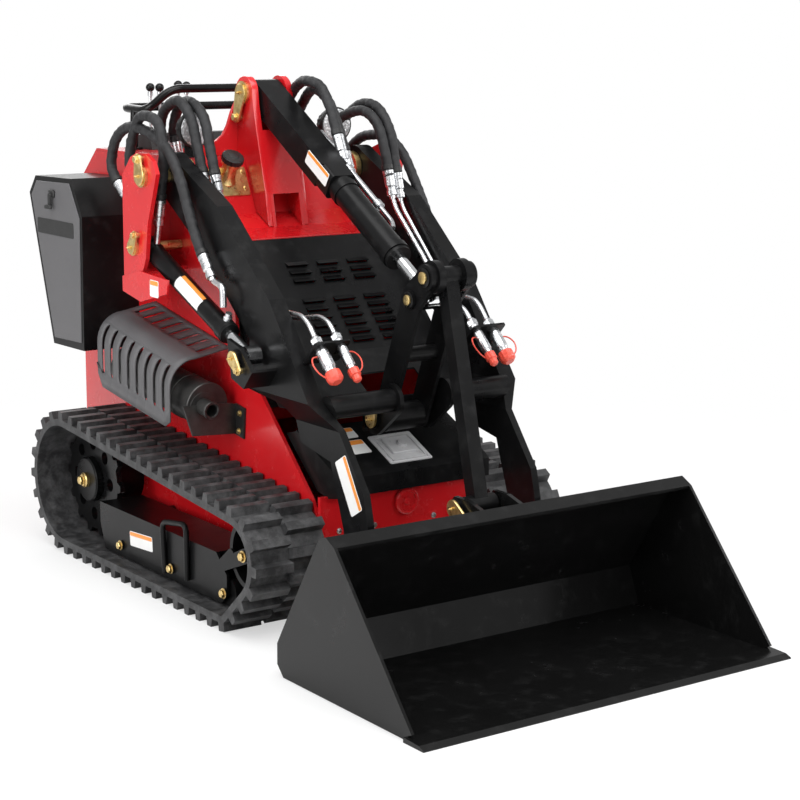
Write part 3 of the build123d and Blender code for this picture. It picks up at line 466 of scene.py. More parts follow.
flagSet = {
    "chassis": [((432, 1341), 74.3, (0.3, -0.95), 72, 25), ((401, 1124), 412.3, (0.1, 1), 46, 25),
                ((454, 927), 412.3, (-0.5, 0.86), 40, 20)],
    "arms": [((-83, 695), 412.3, (-0.72, -0.69), 40, 20), ((-244, 528), 95.3, (-0.35, 0.94), 52, 22)],
    "bucket": [((-575, 357), 75.3, (-0.92, -0.38), 44, 23), ((-449, 140), 298.3, (-0.85, 0.52), 42, 24)],
}
flagShape = {
    "narrow": 0.62, "spacer": 0.4, "bolt": 0.42,  # shares of the flag's size
    "thick": 6, "edge": 1.2, "spacerDepth": 8,
    "nipple": [(6, 5), (9, 5), (9.5, 3.4), (14, 3.2), (15, 2.2), (18, 2.0)],  # along and radius
}


def addFlag(form, values, centre, heading, length, size):
    # teardrop plate with its bolt and spacer at one end and a grease nipple on the pin
    along = unit((0, *heading))
    far = centre + along * length
    spacer = size * values["spacer"]
    form.add(prism(capsule(size, size * values["narrow"], length), centre, along, np.cross(axisX, along),
                   values["thick"], values["edge"]), both)
    form.add(turned([(-values["spacerDepth"], spacer), (0, spacer)], far, axisX, 16), both)
    form.bolt(far + axisX * values["thick"], axisX, size * values["bolt"], both)
    form.add(turned(values["nipple"], centre, axisX, 12), both)


for body, pins in flagSet.items():
    form = Form()
    for place, face, heading, length, size in pins:
        addFlag(form, flagShape, np.array([face, *place]), heading, length, size)
    form.build("pin_flags_" + body, "gold_zinc", body)


# washers and heads on the rocker's pins, each pin ((x, y, z), radius)

rockerSet = {"pins": [((70.3, -437, 915), 25), ((69.3, -370, 852), 22)], "head": 0.62, "headTop": 0.52}
washers, heads = Form(), Form()
for place, size in rockerSet["pins"]:
    washers.add(turned([(0, size), (3, size), (4, size - 3)], place, axisX, 32), both)
    flank = size * rockerSet["head"]
    heads.add(turned([(0, flank), (8, flank), (9, size * rockerSet["headTop"])], place, axisX, 32), both)
washers.build("rocker_washers", "gloss_black", "rocker")
heads.build("rocker_pin_heads", "gold_zinc", "rocker")


# couplers on the arms: turned bodies, red caps, cap straps and the plate that carries them

couplerSet = {
    "out": (0, -0.72, -0.694),
    "outer": {"place": (272, -250, 757), "cap": 108, "capSize": 1.0,
              "body": [(-4, 7), (0, 11), (4, 13), (26, 13), (27, 15), (44, 15), (46, 17), (58, 17),
                       (59, 15.4), (63, 15.4), (64, 17), (92, 17), (94, 15), (98, 15), (100, 14), (110, 14)],
              "red": [(0, 18), (3, 21), (22, 21), (27, 19), (33, 12)]},
    "inner": {"place": (215, -254, 763), "cap": 112, "capSize": 0.8,
              "body": [(-4, 7), (0, 10), (4, 12), (26, 12), (44, 12), (46, 13.5), (66, 13.5), (67, 12),
                       (71, 12), (72, 13.5), (100, 13.5), (103, 11), (114, 11)],
              "red": [(0, 13), (2, 14.8), (20, 14.8), (22, 11.5), (34, 11), (38, 7)]},
    "strap": [(0, 124), (19, 122), (38, 108), (45, 84), (36, 62), (16, 54), (0, 56)],  # across and along
    "strapSize": 2.0, "strapRise": 10, "strapSag": 0.3,
    "nutLength": 16, "nutMargin": 2.5, "nutStart": 6,
    "plate": (106, 84, 8), "platePlace": (247.5, -278, 738), "plateDrop": 18, "plateThick": 6,
}
couplerOut = unit(couplerSet["out"])
couplerDown = np.cross(axisX, couplerOut)
metalForm, capForm, strapForm = Form(), Form(), Form()
for kind, way in (("outer", 1), ("inner", -1)):  # the cap's strap hangs away from the other coupler
    values = couplerSet[kind]
    place = np.asarray(values["place"], float)
    metalForm.add(turned(values["body"], place, couplerOut), both)
    metalForm.add(prism(circle(6) * (values["body"][2][1] + couplerSet["nutMargin"]),
                        place + couplerOut * couplerSet["nutStart"], *basis(couplerOut),
                        couplerSet["nutLength"], 1.5), both)
    capForm.add(turned(values["red"], place + couplerOut * values["cap"], couplerOut, 36, 12, 0.03), both)
    loop = [place + axisX * across * way * values["capSize"] + couplerOut * along
            + couplerDown * (couplerSet["strapRise"] - abs(across) * couplerSet["strapSag"])
            for across, along in couplerSet["strap"]]
    strapForm.add(tube(curve(loop), couplerSet["strapSize"], 8), both)
metalForm.build("coupler_bodies", "bright_zinc", "arms")
capForm.build("coupler_caps", "red_plastic", "arms")
strapForm.build("coupler_straps", "red_plastic", "arms")
place = couplerSet["platePlace"] + couplerDown * couplerSet["plateDrop"]
plate = prism(roundBox(*couplerSet["plate"]), place, axisX, -couplerDown, couplerSet["plateThick"], 1)
solidPiece("coupler_plates", "black_paint", plate, body="arms", sides=both)
print("pins and couplers made")


# hard lines on the arms' inner faces, (y, z, x) points, and the clamps that hold them

lineSet = {
    "size": 6.5,
    "routes": [
        [(291, 1064, -265), (250, 1036, -266), (120, 940, -268), (-10, 822, -270), (-75, 808, -272),
         (-190, 807, -272), (-226, 786, -272), (-250, 757, -272)],
        [(268, 1056, -240), (232, 1020, -241), (60, 882, -244), (-47, 785, -246), (-118, 788, -230),
         (-185, 800, -215), (-226, 790, -215), (-254, 763, -215)],
        [(142, 1046, 268), (128, 1022, 268), (20, 912, 271), (-60, 835, 270), (-120, 812, 272),
         (-200, 806, 272), (-228, 784, 272), (-250, 757, 272)],
        [(146, 1054, 242), (130, 1024, 243), (6, 900, 250), (-75, 805, 255), (-130, 790, 235),
         (-188, 800, 215), (-228, 788, 215), (-254, 763, 215)],
    ],
    "bend": 17,
    "clamps": [(66, 915), (-20, 834)],  # (y, z) on the arm's inner face
    "face": 262,
    "clampSize": (44, 26, 5),
    "clampDepth": 19,
}
form = Form()
for route in lineSet["routes"]:
    form.add(tube(bent([(x, y, z) for y, z, x in route], lineSet["bend"]), lineSet["size"]))
form.build("hard_lines", "bright_zinc", "arms")
form = Form()
for place in lineSet["clamps"]:
    clampPlace = (lineSet["face"], *place)
    form.add(prism(roundBox(*lineSet["clampSize"]), clampPlace, (0, 0.74, 0.67), (0, -0.67, 0.74),
                   lineSet["clampDepth"], 3), both)
    form.bolt(clampPlace, -axisX, 6, both)
form.build("line_clamps", "black_paint", "arms")


# sleeved hoses: each crosses one joint, from the body that feeds it to the one that it feeds

hoseSet = {
    "size": 14.5,
    "wrap": 30,
    "ripple": 0.035,
    "ferrule": [(-30, 14), (-29, 16), (-20, 16), (-19, 15), (14, 15), (18, 12), (26, 12), (27, 14), (40, 14),
                (42, 9), (50, 8)],
    "strap": [(-46, 14), (-45, 16.6), (-33, 16.6), (-32, 14)],
    "routes": [  # name, feeding body, fed body, where the bend starts and ends in metres, (x, y, z) points
        ("left_lift_top", "chassis", "lift_barrel_left", (-0.35, 0.60, 1.24), (-0.35, 0.18, 0.95),
         [(-344, 634, 1066), (-349, 668, 1100), (-350, 688, 1142), (-350, 654, 1212), (-350, 566, 1248),
          (-350, 441, 1231), (-350, 346, 1186), (-350, 285, 1113), (-352, 248, 1051), (-354, 196, 967),
          (-356, 142, 906)]),
        ("left_lift_base", "chassis", "lift_barrel_left", (-0.35, 0.57, 1.16), (-0.35, 0.40, 1.03),
         [(-330, 566, 1072), (-342, 572, 1110), (-350, 578, 1150), (-350, 560, 1210), (-350, 510, 1276),
          (-350, 423, 1272), (-350, 384, 1222), (-350, 381, 1153), (-352, 392, 1090), (-354, 401, 1030)]),
        ("left_arm_outer", "chassis", "arms", (-0.26, 0.50, 1.30), (-0.26, 0.32, 1.15),
         [(-228, 588, 1172), (-238, 600, 1236), (-252, 551, 1290), (-264, 451, 1321), (-265, 380, 1278),
          (-265, 343, 1195), (-265, 306, 1103)]),
        ("left_arm_inner", "chassis", "arms", (-0.23, 0.50, 1.30), (-0.24, 0.30, 1.15),
         [(-192, 588, 1172), (-200, 596, 1232), (-218, 530, 1300), (-232, 440, 1318), (-236, 360, 1280),
          (-238, 322, 1195), (-240, 284, 1098)]),
        ("right_arm_outer", "chassis", "arms", (0.27, 0.40, 1.26), (0.27, 0.17, 1.13),
         [(238, 486, 1172), (250, 470, 1204), (268, 420, 1266), (272, 344, 1306), (272, 261, 1296),
          (272, 200, 1231), (270, 178, 1163), (268, 156, 1092)]),
        ("right_arm_inner", "chassis", "arms", (0.24, 0.40, 1.26), (0.25, 0.20, 1.12),
         [(206, 486, 1172), (216, 472, 1204), (232, 424, 1250), (240, 360, 1280), (242, 286, 1288),
          (242, 222, 1254), (242, 186, 1186), (242, 160, 1100)]),
        ("right_lift_top", "chassis", "lift_barrel_right", (0.35, 0.60, 1.24), (0.35, 0.15, 0.93),
         [(318, 548, 962), (342, 566, 1040), (350, 560, 1130), (350, 478, 1196), (350, 398, 1214),
          (350, 320, 1208), (350, 251, 1168), (352, 197, 1098), (354, 140, 1010), (356, 90, 915),
          (358, 42, 832)]),
        ("centre_left", "chassis", "tilt_trunnion", (0.06, 0.36, 1.42), (0.05, 0.20, 1.34),
         [(104, 520, 1172), (100, 500, 1250), (84, 425, 1330), (66, 350, 1366), (54, 290, 1375),
          (52, 222, 1362), (52, 174, 1310), (52, 146, 1256), (52, 122, 1206)]),
        ("centre_right", "chassis", "tilt_trunnion", (0.09, 0.36, 1.42), (0.08, 0.20, 1.34),
         [(142, 520, 1172), (138, 500, 1240), (122, 420, 1310), (100, 345, 1346), (86, 285, 1350),
          (82, 228, 1322), (80, 184, 1268), (78, 152, 1212), (76, 122, 1160)]),
    ],
}


def sleeve(points, values, pitch=5, sides=18):
    # tube whose radius waves with a helix round the wrap and a finer ring ripple along it
    path = curve(points, 16)
    run = np.concatenate([[0], np.cumsum(np.linalg.norm(np.diff(path, axis=0), axis=1))])
    even = np.linspace(0, run[-1], int(run[-1] / pitch))
    path = np.column_stack([np.interp(even, run, path[:, part]) for part in range(3)])
    phase = 2 * math.pi * even[:, None] / values["wrap"]
    helix = np.sin(phase + fullTurn(sides)[None, :])
    rings = np.sin(phase / 0.63)
    return tube(path, values["size"] * (1 + values["ripple"] * (helix + 0.6 * rings)), sides)


ends, straps = {}, {}
for name, feeding, fed, bendFrom, bendTo, points in hoseSet["routes"]:
    form = Form()
    form.add(sleeve(points, hoseSet))
    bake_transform(form.build("hose_" + name, "hose_rubber", None, 60))
    points = np.asarray(points, float)
    for body, tip, inner in ((feeding, points[0], points[1]), (fed, points[-1], points[-2])):
        ends.setdefault(body, Form()).add(turned(hoseSet["ferrule"], tip, tip - inner))
        straps.setdefault(body, Form()).add(turned(hoseSet["strap"], tip, tip - inner))
elbows = [  # body, bent path
    ("chassis", [(-340, 606, 1034), (-338, 580, 1006), (-336, 524, 1000)]),
    ("lift_barrel_left", [(-356, 104, 868), (-358, 56, 858), (-360, 52, 806)]),
    ("lift_barrel_left", [(-355, 408, 984), (-358, 414, 936)]),
]
for body, path in elbows:
    ends[body].add(tube(bent(path, 18) if len(path) > 2 else path, 9, 16))
for body, form in ends.items():
    form.build("hose_ends_" + body, "bright_zinc", body)
    straps[body].build("hose_straps_" + body, "black_plastic", body)
print("lines and hoses made")


# tilt cylinder's tower: two ears with round tops, a bell plate with curved sides, a shield and two gussets

deckTop = 1165.5
towerSet = {
    "ear": [(304, 978), (371, 1012), (441, 1166), (486, 1166), (482, 1300)],
    "earFront": [(380, 1300), (366, 1240), (344, 1160), (318, 1060)],
    "earInner": 46, "earThick": 20, "pin": (432, 1341), "topRadius": 46,
    "bell": [(234, deckTop), (232, 1190), (200, 1195), (166, 1199), (136, 1206), (112, 1222), (96, 1250),
             (82, 1289), (66, 1318)],
    "bellFront": 482, "bellThick": 12,
    "shield": [(366, 1240), (319, 1066), (327, 1064), (374, 1238)],
    "gusset": [(319, 1066), (300, 975), (340, 1000)], "gussetThick": 10, "gussetsFrom": (-52, 42),
}
form = Form()
angle = np.radians(np.linspace(0, 180, 19))
top = towerSet["pin"] + towerSet["topRadius"] * np.column_stack([np.cos(angle), np.sin(angle)])
ear = np.concatenate([towerSet["ear"], top, towerSet["earFront"]])
form.add(prism(ear, (towerSet["earInner"], 0, 0), axisY, axisZ, towerSet["earThick"], 2), both)
bell = np.array(towerSet["bell"])
bell = np.concatenate([bell * (-1, 1), bell[::-1]])
form.add(prism(bell, (0, towerSet["bellFront"], 0), axisX, axisZ, towerSet["bellThick"], 1.5))
form.add(prism(towerSet["shield"], (-towerSet["earInner"], 0, 0), axisY, axisZ, 2 * towerSet["earInner"], 1))
for x in towerSet["gussetsFrom"]:
    form.add(prism(towerSet["gusset"], (x, 0, 0), axisY, axisZ, towerSet["gussetThick"], 1))
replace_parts(form.build("tower_plates", "red_paint"), "tilt_tower")


# rails, console and levers of the operator's end

railSet = {
    "size": 12.5, "bend": 34,
    "loop": [(0, 900, 1285), (-200, 900, 1285), (-192, 770, 1280), (-126, 741, 1343), (126, 741, 1343),
             (192, 770, 1280), (200, 900, 1285), (0, 900, 1285)],
    "leg": [(196, 835, 1282), (200, 838, 1171)],
    "foot": [(0, 26), (6, 26), (7, 24), (8, 14)],
}
form = Form()
form.add(tube(bent(railSet["loop"], railSet["bend"]), railSet["size"], 18))
for side in both:
    leg = np.array(railSet["leg"]) * (side, 1, 1)
    form.add(tube(np.linspace(*leg, 4), railSet["size"], 18))
    form.add(turned(railSet["foot"], (*leg[1][:2], deckTop), axisZ, 24))
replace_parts(form.build("rails", "gloss_black"), "handle_bars")

consoleSet = {
    "outline": [(790, deckTop), (955, deckTop), (955, 1186), (948, 1193), (822, 1214), (808, 1212)],
    "width": 330, "edge": 5,
}
console = prism(consoleSet["outline"], (-consoleSet["width"] / 2, 0, 0), axisY, axisZ, consoleSet["width"],
                consoleSet["edge"])
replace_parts(solidPiece("console", "black_plastic", console), "rear_console")

leverSet = {
    "row": [(-136, 1344), (-105, 1343), (-43, 1350), (-15, 1347)],  # x and height of each knob
    "y": 850, "foot": 1206, "knob": 13,
    "neck": [(-26, 4.5), (-25, 7.5), (-12, 7.5), (-11, 5), (-6, 5)],  # along from the knob, and radius
    "boot": [(-2, 17), (3, 17), (5, 14), (8, 15), (11, 11), (14, 12), (17, 8), (22, 6)],
}
rods, knobs, boots = Form(), Form(), Form()
ball = np.radians(np.linspace(4, 176, 15))
ball = leverSet["knob"] * np.column_stack([-np.cos(ball), np.sin(ball)])
for x, top in leverSet["row"]:
    foot = (x, leverSet["y"], leverSet["foot"])
    height = top - leverSet["foot"]
    neck = [(height + along, radius) for along, radius in leverSet["neck"]]
    rods.add(turned([(0, 4.5), *neck], foot, axisZ, 16))
    knobs.add(turned(ball, (x, leverSet["y"], top), axisZ, 24))
    boots.add(turned(leverSet["boot"], foot, axisZ, 20))
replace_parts(rods.build("lever_rods", "bright_zinc"), "control_levers")
knobs.build("lever_knobs", "gloss_black")
boots.build("lever_boots", "black_plastic")


# round work lights: finned housing, rim, bright faceted face and its bracket

lightSet = {
    "place": (231, 412, 1245), "size": 50,  # the shell is (along, how much wider than the size)
    "shell": [(0, -5), (0, 0), (3, 1), (12, 1), (13, -4), (22, -5), (30, -14), (52, -18), (58, -22)],
    "fins": 6, "finStart": 15, "finPitch": 6.5, "finThick": 2.5, "finRim": -1, "finTaper": 2.6,
    "faceBack": 0.4, "faceDome": 6, "faceMargin": 4,
    "stem": (26, 84, 4), "stemShift": (0, 44, -35), "stemThick": 6,
    "foot": (44, 30, 4), "footPlace": (226, 460, deckTop), "footThick": 5, "bolt": (226, 474, deckTop + 5),
}
housing, faces, bracket = Form(), Form(), Form()
size = lightSet["size"]
centre = np.array(lightSet["place"])
housing.add(turned([(along, size + more) for along, more in lightSet["shell"]], centre, axisY, 48), both)
for step in range(lightSet["fins"]):
    at = lightSet["finStart"] + step * lightSet["finPitch"]
    rim = size + lightSet["finRim"] - step * lightSet["finTaper"]
    housing.add(turned([(at, rim), (at + lightSet["finThick"], rim)], centre, axisY, 36, 18, 0.03), both)
dome = np.linspace(0, 1, 10)[:-1] * math.pi / 2
dome = np.column_stack([-lightSet["faceBack"] - lightSet["faceDome"] * np.sin(dome),
                        (size - lightSet["faceMargin"]) * np.cos(dome)])
faces.add(turned(dome, centre, axisY, 48), both)
stemPlace = centre + lightSet["stemShift"]
bracket.add(prism(roundBox(*lightSet["stem"]), stemPlace, axisX, axisZ, lightSet["stemThick"], 1), both)
bracket.add(prism(roundBox(*lightSet["foot"]), lightSet["footPlace"], axisX, axisY,
                  lightSet["footThick"], 1), both)
bracket.bolt(lightSet["bolt"], axisZ, 7, both)
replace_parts(housing.build("light_housings", "black_plastic"), "work_lights")
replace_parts(faces.build("light_faces", "light_face"), "lamp_lenses")
bracket.build("light_brackets", "black_paint")


# filler neck: plate, gold neck and ribbed black cap

fillerSet = {
    "place": (-132, 421, 1107), "out": (0, -0.55, 0.835),
    "neck": [(-22, 31), (-4, 31), (4, 25), (36, 21), (44, 21), (48, 27), (58, 27), (60, 24)],
    "cap": [(58, 28), (60, 31), (74, 31), (77, 28), (78, 17), (80, 15), (82, 4)],
    "slope": (0, 70, 154.5),  # the deck's steep front, upward
    "plate": (118, 84, 6), "platePlace": (-130, 412, 1100), "plateThick": 4, "plateDrop": 4, "gap": 0.6,
    "bolts": [(-48, 22), (-48, -26), (48, 22), (48, -26)],  # across and up from the plate's place
}
place, out = np.array(fillerSet["place"], float), unit(fillerSet["out"])
slope = unit(fillerSet["slope"])
steepOut = np.cross(axisX, slope)
platePlace = fillerSet["platePlace"] + steepOut * fillerSet["gap"]
form = Form()
form.add(prism(roundBox(*fillerSet["plate"]), platePlace - slope * fillerSet["plateDrop"], axisX, slope,
               fillerSet["plateThick"], 1))
form.add(turned(fillerSet["neck"], place, out, 40))
for across, rise in fillerSet["bolts"]:
    form.bolt(platePlace + steepOut * fillerSet["plateThick"] + axisX * across + slope * rise, steepOut, 6)
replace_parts(form.build("filler", "gold_zinc"), "filler_neck")
solidPiece("filler_cap", "black_plastic", turned(fillerSet["cap"], place, out, 72, 18, 0.03))
print("tower, rails, levers, lights and filler made")


# muffler guard: sheet carried along the muffler, its section a top, a bend and a side, with slots left out

guardSet = {
    "wall": -262.6, "side": -450.0, "bend": 80.0, "fall": 20.0,
    "front": (188, 674), "rear": (604, 750),
    "depth": [(0, 166), (0.05, 186), (0.94, 202), (1, 170)],  # share of the length, depth below the top
    "slotFirst": 0.085, "slotPitch": 0.119, "slotHalf": 0.0205, "slotCount": 8,
    "sideSlot": (1.50, 2.66), "topSlot": (0.12, 0.80),
    "endRun": 0.12, "thick": 4.0,
}


def makeGuard(values):
    # u runs 0 to 1 over the top, to 2 round the bend, to 3 down the side; t runs along the length
    ends = np.array([0, 0.06, 0.25, 0.55, 1.0]) * values["endRun"]
    topFirst, topLast = values["topSlot"]
    sideFirst, sideLast = values["sideSlot"]
    u = np.array([0.0, 0.06, *(topFirst + ends), *(topLast - ends[::-1]), *np.linspace(0.9, 1.45, 6),
                  *(sideFirst + ends), *np.linspace(1.68, 2.0, 4), 2.2, *(sideLast - ends[::-1]), 3.0])
    u = u[:, None]
    middle = values["slotFirst"] + values["slotPitch"] * np.arange(values["slotCount"])

    def opening(low, high):  # share of a slot's full width, a half circle at each end
        near = np.clip(np.minimum(u - low, high - u) / values["endRun"], 0, 1)
        return np.where((u >= low) & (u <= high), np.sqrt(1 - (1 - near) ** 2), 1.0)

    half = values["slotHalf"] * np.where(u < 1, opening(topFirst, topLast), opening(sideFirst, sideLast))
    t = np.zeros((len(u), 2 * len(middle) + 2))
    t[:, 1:-1:2] = middle - half
    t[:, 2:-1:2] = middle + half
    t[:, -1] = 1
    over = np.clip(u, 0, 1)
    bend = np.clip(u - 1, 0, 1) * math.pi / 2
    down = np.clip(u - 2, 0, 1)
    size = values["bend"]
    deep = np.interp(t, *np.array(values["depth"]).T)
    drop = size * (1 - np.cos(bend)) + down * (deep - size)
    x = values["wall"] + over * (values["side"] + size - values["wall"]) - size * np.sin(bend)
    y, z = (low + (high - low) * t for low, high in zip(values["front"], values["rear"]))
    z = z - values["fall"] * over - drop
    verts = np.stack(np.broadcast_arrays(x, y, z), -1).reshape(-1, 3)
    rows, columns = t.shape
    base = np.arange(rows - 1)[:, None] * columns + np.arange(columns - 1)
    quads = np.stack([base, base + 1, base + columns + 1, base + columns], -1)
    centre = (u[:-1] + u[1:]) / 2
    inSlot = ((centre > sideFirst) & (centre < sideLast)) | ((centre > topFirst) & (centre < topLast))
    slotted = np.arange(columns - 1) % 2 == 1
    faces = quads[~(inSlot & slotted)].tolist()
    guard = newPiece("guard_sheet", verts, faces, "chassis", "grey_paint", 35)
    wall = guard.modifiers.new("wall", "SOLIDIFY")
    wall.thickness = values["thick"] * mm
    wall.offset = -1
    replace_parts(guard, "muffler_guard")


makeGuard(guardSet)


# muffler: end cap, collar, tail pipe, two bands and the bracket to the wall, profiles as (along, radius)

mufflerSet = {
    "front": (-352, 160, 528), "run": (0, 440, 44), "outlet": (-366, 160, 528),
    "cap": [(-3, 40), (-3, 61), (0, 63), (7, 63), (9, 60.6)],
    "collar": [(-4, 30), (-4, 38), (0, 40), (1, 38)],
    "pipe": [(-12, 16), (-52, 16), (-54, 19), (-54, 23), (-51, 24.5), (-47, 24.5), (-45, 22.6), (-12, 22.6)],
    "band": [(0, 60.4), (1, 62), (23, 62), (24, 60.4)], "bandsAt": (90, 360),
    "arm": [(-430, 534), (-401, 450), (-268, 442), (-268, 524), (-300, 530)], "armFront": 156, "armThick": 5,
    "foot": [(-156, 525), (-105, 518), (-112, 434), (-156, 440)], "footWall": -262.8, "footThick": 6,
    "bolts": [(128, 502), (134, 452)], "boltSize": 7,
}
way = unit(mufflerSet["run"])
form = Form()
form.add(turned(mufflerSet["cap"], mufflerSet["front"], way, 48))
form.add(turned(mufflerSet["collar"], mufflerSet["outlet"], way, 32))
form.add(turned(mufflerSet["pipe"], mufflerSet["outlet"], way, 40))
for at in mufflerSet["bandsAt"]:
    band = [(at + along, radius) for along, radius in mufflerSet["band"]]
    form.add(turned(band, mufflerSet["front"], way, 48))
form.build("muffler_rims", "exhaust_steel")
wall = mufflerSet["footWall"]
solidPiece("muffler_bracket", "exhaust_steel",
           prism(mufflerSet["arm"], (0, mufflerSet["armFront"], 0), axisX, axisZ, mufflerSet["armThick"], 1),
           prism(mufflerSet["foot"], (wall, 0, 0), -axisY, axisZ, mufflerSet["footThick"], 1))
form = Form()
for place in mufflerSet["bolts"]:
    form.bolt((wall - mufflerSet["footThick"], *place), -axisX, mufflerSet["boltSize"])
form.build("bracket_bolts", "gold_zinc")
print("guard and muffler made")


# blank labels and plates, each (body, middle, out, along, length, width, share of orange)

labelSet = [
    ("arms", (-273.2, -404, 407), (-1, 0, 0), (0, 0.513, 0.859), 146, 54, 0.22),
    ("tilt_barrel", (-40.2, 96, 1151), (-1, 0, 0), (0, 0.854, 0.5206), 118, 40, 0.24),
    ("chassis", (-442.2, 379, 117), (-1, 0, 0), (0, 0.998, -0.07), 132, 42, 0.26),
    ("chassis", (-410.4, 334, 826), (-1, 0, 0), (0, 1, 0.02), 48, 46, 0.26),
    ("chassis", (-110, -150, 476.6), (0, -0.419, 0.908), (-1, 0, 0), 52, 44, 0.34),
    ("chassis", (-112, -206, 450.8), (0, -0.419, 0.908), (-1, 0, 0), 56, 58, 0.3),
]
white, orange = {}, {}
for body, middle, out, along, length, width, share in labelSet:
    along, out = unit(along), unit(out)
    up = np.cross(out, along)
    white.setdefault(body, Form()).add(prism(roundBox(length, width, 5), middle, along, up, 0.9, 0.2))
    shift = -up * (width * (1 - share) / 2 - 2)
    orange.setdefault(body, Form()).add(prism(roundBox(length - 4, width * share, 3),
                                              np.asarray(middle) + shift + out * 0.9, along, up, 0.35, 0.1))
for body in white:
    white[body].build("labels_" + body, "label_white", body)
    orange[body].build("label_bands_" + body, "label_orange", body)


def wrapped(start, out, run, radius, spread, thick, steps=12):
    # curved plate on a round barrel: an arc swept along it, run and spread being (from, to)
    across = unit(np.cross(axisX, out))
    angle = np.radians(np.linspace(*spread, steps))
    arc = np.column_stack([np.cos(angle), np.sin(angle)])
    ring = np.concatenate([arc * (radius + thick), arc[::-1] * radius])
    lie = ring[:, :1] * axisX + ring[:, 1:] * across
    return loft([np.asarray(start) + unit(out) * at + lie for at in run], True)


# lift cylinders: glands, ports and the left barrel's label

liftSet = {
    "pin": (360, 454, 927), "eye": (360, -83, 695),
    "gland": [(438, 27.2), (439, 30), (466, 30), (468, 28), (473, 28), (474, 20), (476, 16.5)],
    "collar": [(30, 27.2), (31, 28.6), (42, 28.6), (43, 27.2)],
    "port": [(0, 12), (10, 12), (11, 9), (22, 9)], "portAt": 448, "portRise": 27,
    "skin": 27.1, "labelThick": 0.8,
    "label": ((208, 340), (240, 170)), "band": ((212, 336), (264, 241)),  # run along, angles round it
}
liftOut = unit(np.subtract(liftSet["eye"], liftSet["pin"]))
liftUp = np.cross(liftOut, axisX)
leftPin = np.array(liftSet["pin"]) * (-1, 1, 1)
for part, name, finish in (("label", "label_lift", "label_white"),
                           ("band", "label_lift_band", "label_orange")):
    run, spread = liftSet[part]
    label = wrapped(leftPin, liftOut, run, liftSet["skin"], spread, liftSet["labelThick"])
    solidPiece(name, finish, label, body="lift_barrel_left")
gland, collar = (turned(liftSet[part], liftSet["pin"], liftOut, 40) for part in ("gland", "collar"))
port = liftSet["pin"] + liftOut * liftSet["portAt"] + liftUp * liftSet["portRise"]
for side, name in ((-1, "left"), (1, "right")):
    body = "lift_barrel_" + name
    solidPiece("lift_gland_" + name, "black_paint", gland, collar, body=body, sides=(side,))
    solidPiece("lift_port_" + name, "bright_zinc", turned(liftSet["port"], port, liftUp, 20), body=body,
               sides=(side,))


# tilt cylinder: square gland and two rings round the barrel, and the steel line beside it

tiltSet = {
    "pin": (0, 432, 1341), "eye": (0, -370, 852), "barrel": 34,
    "square": (398, 456), "halfWidth": 39.7, "halfHeight": 36.6, "corner": 48,
    "rings": [((470, 493), 5), ((742, 762), 5.5)],  # run along the barrel, wall
    "lineAside": 52, "lineRise": 16, "lineRun": (236, 560), "lineSize": 9,
    "tailTo": (640, 668), "tailIn": 13, "tailSize": 6.5,
    "nut": [(0, 12), (1, 13.5), (20, 13.5), (21, 12)], "nutsAt": (232, 396, 556),
    "feedAt": 244, "feedRise": 4, "feedFrom": (52, 112, 1186), "feedSize": 8,
}
tiltOut = unit(np.subtract(tiltSet["eye"], tiltSet["pin"]))
tiltUp = np.cross(tiltOut, axisX)
barrel = tiltSet["barrel"]
spread = (2.5, 362.5)
angle = np.radians(np.linspace(*spread, 73))[:, None]
square = np.minimum(tiltSet["halfWidth"] / np.abs(np.cos(angle)),
                    tiltSet["halfHeight"] / np.abs(np.sin(angle)))
square = np.minimum(square, tiltSet["corner"]) - barrel
rings = [wrapped(tiltSet["pin"], tiltOut, run, barrel, (0, 360), wall, 49) for run, wall in tiltSet["rings"]]
gland = wrapped(tiltSet["pin"], tiltOut, tiltSet["square"], barrel, spread, square, 73)
solidPiece("tilt_gland", "black_paint", gland, *rings, body="tilt_barrel")
line = tiltSet["pin"] + axisX * tiltSet["lineAside"] + tiltUp * tiltSet["lineRise"]
first, last, turn, tip = (line + tiltOut * at for at in (*tiltSet["lineRun"], *tiltSet["tailTo"]))
form = Form()
form.add(tube([first, last], tiltSet["lineSize"], 16))
form.add(tube(bent([last, turn, tip - axisX * tiltSet["tailIn"]], 14), tiltSet["tailSize"]))
for at in tiltSet["nutsAt"]:
    form.add(turned(tiltSet["nut"], line + tiltOut * at, tiltOut, 12))
form.add(tube([line + tiltOut * tiltSet["feedAt"] + tiltUp * tiltSet["feedRise"], tiltSet["feedFrom"]],
              tiltSet["feedSize"]))
form.build("tilt_lines", "bright_zinc", "tilt_barrel")
print("labels and cylinder dress made")


# running gear: hub caps and rings, axle bolts and the loop on the track frame

gearSet = {
    "cap": [(0, 22), (8, 22), (10, 19), (12, 18)], "capPlace": (412.2, 775, 212),
    "ring": [(0, 64), (2, 66), (20, 66), (24, 60), (24, 30)], "ringPlace": (388.2, 775, 212),
    "bolts": [((424.2, 775, 212), 13), ((446.2, -79, 80), 11), ((446.2, 204, 80), 11),
              ((446.2, 498, 80), 11), ((446.2, -180, 202), 12)],  # place, size
    "loop": [(449, 232, 64), (452, 236, 206), (452, 104, 226), (449, 108, 72)],
    "loopBend": 26, "loopSize": 8,
}
form = Form()
form.add(turned(gearSet["cap"], gearSet["capPlace"], axisX, 32), both)
for place, size in gearSet["bolts"]:
    form.bolt(place, axisX, size, both)
form.build("axle_bolts", "gold_zinc")
solidPiece("frame_loops", "black_paint",
           tube(bent(gearSet["loop"], gearSet["loopBend"]), gearSet["loopSize"]),
           turned(gearSet["ring"], gearSet["ringPlace"], axisX, 48), sides=both)


# side boxes: proud doors, corner seams, rubber latches and a blank plate; red plate under the left upright

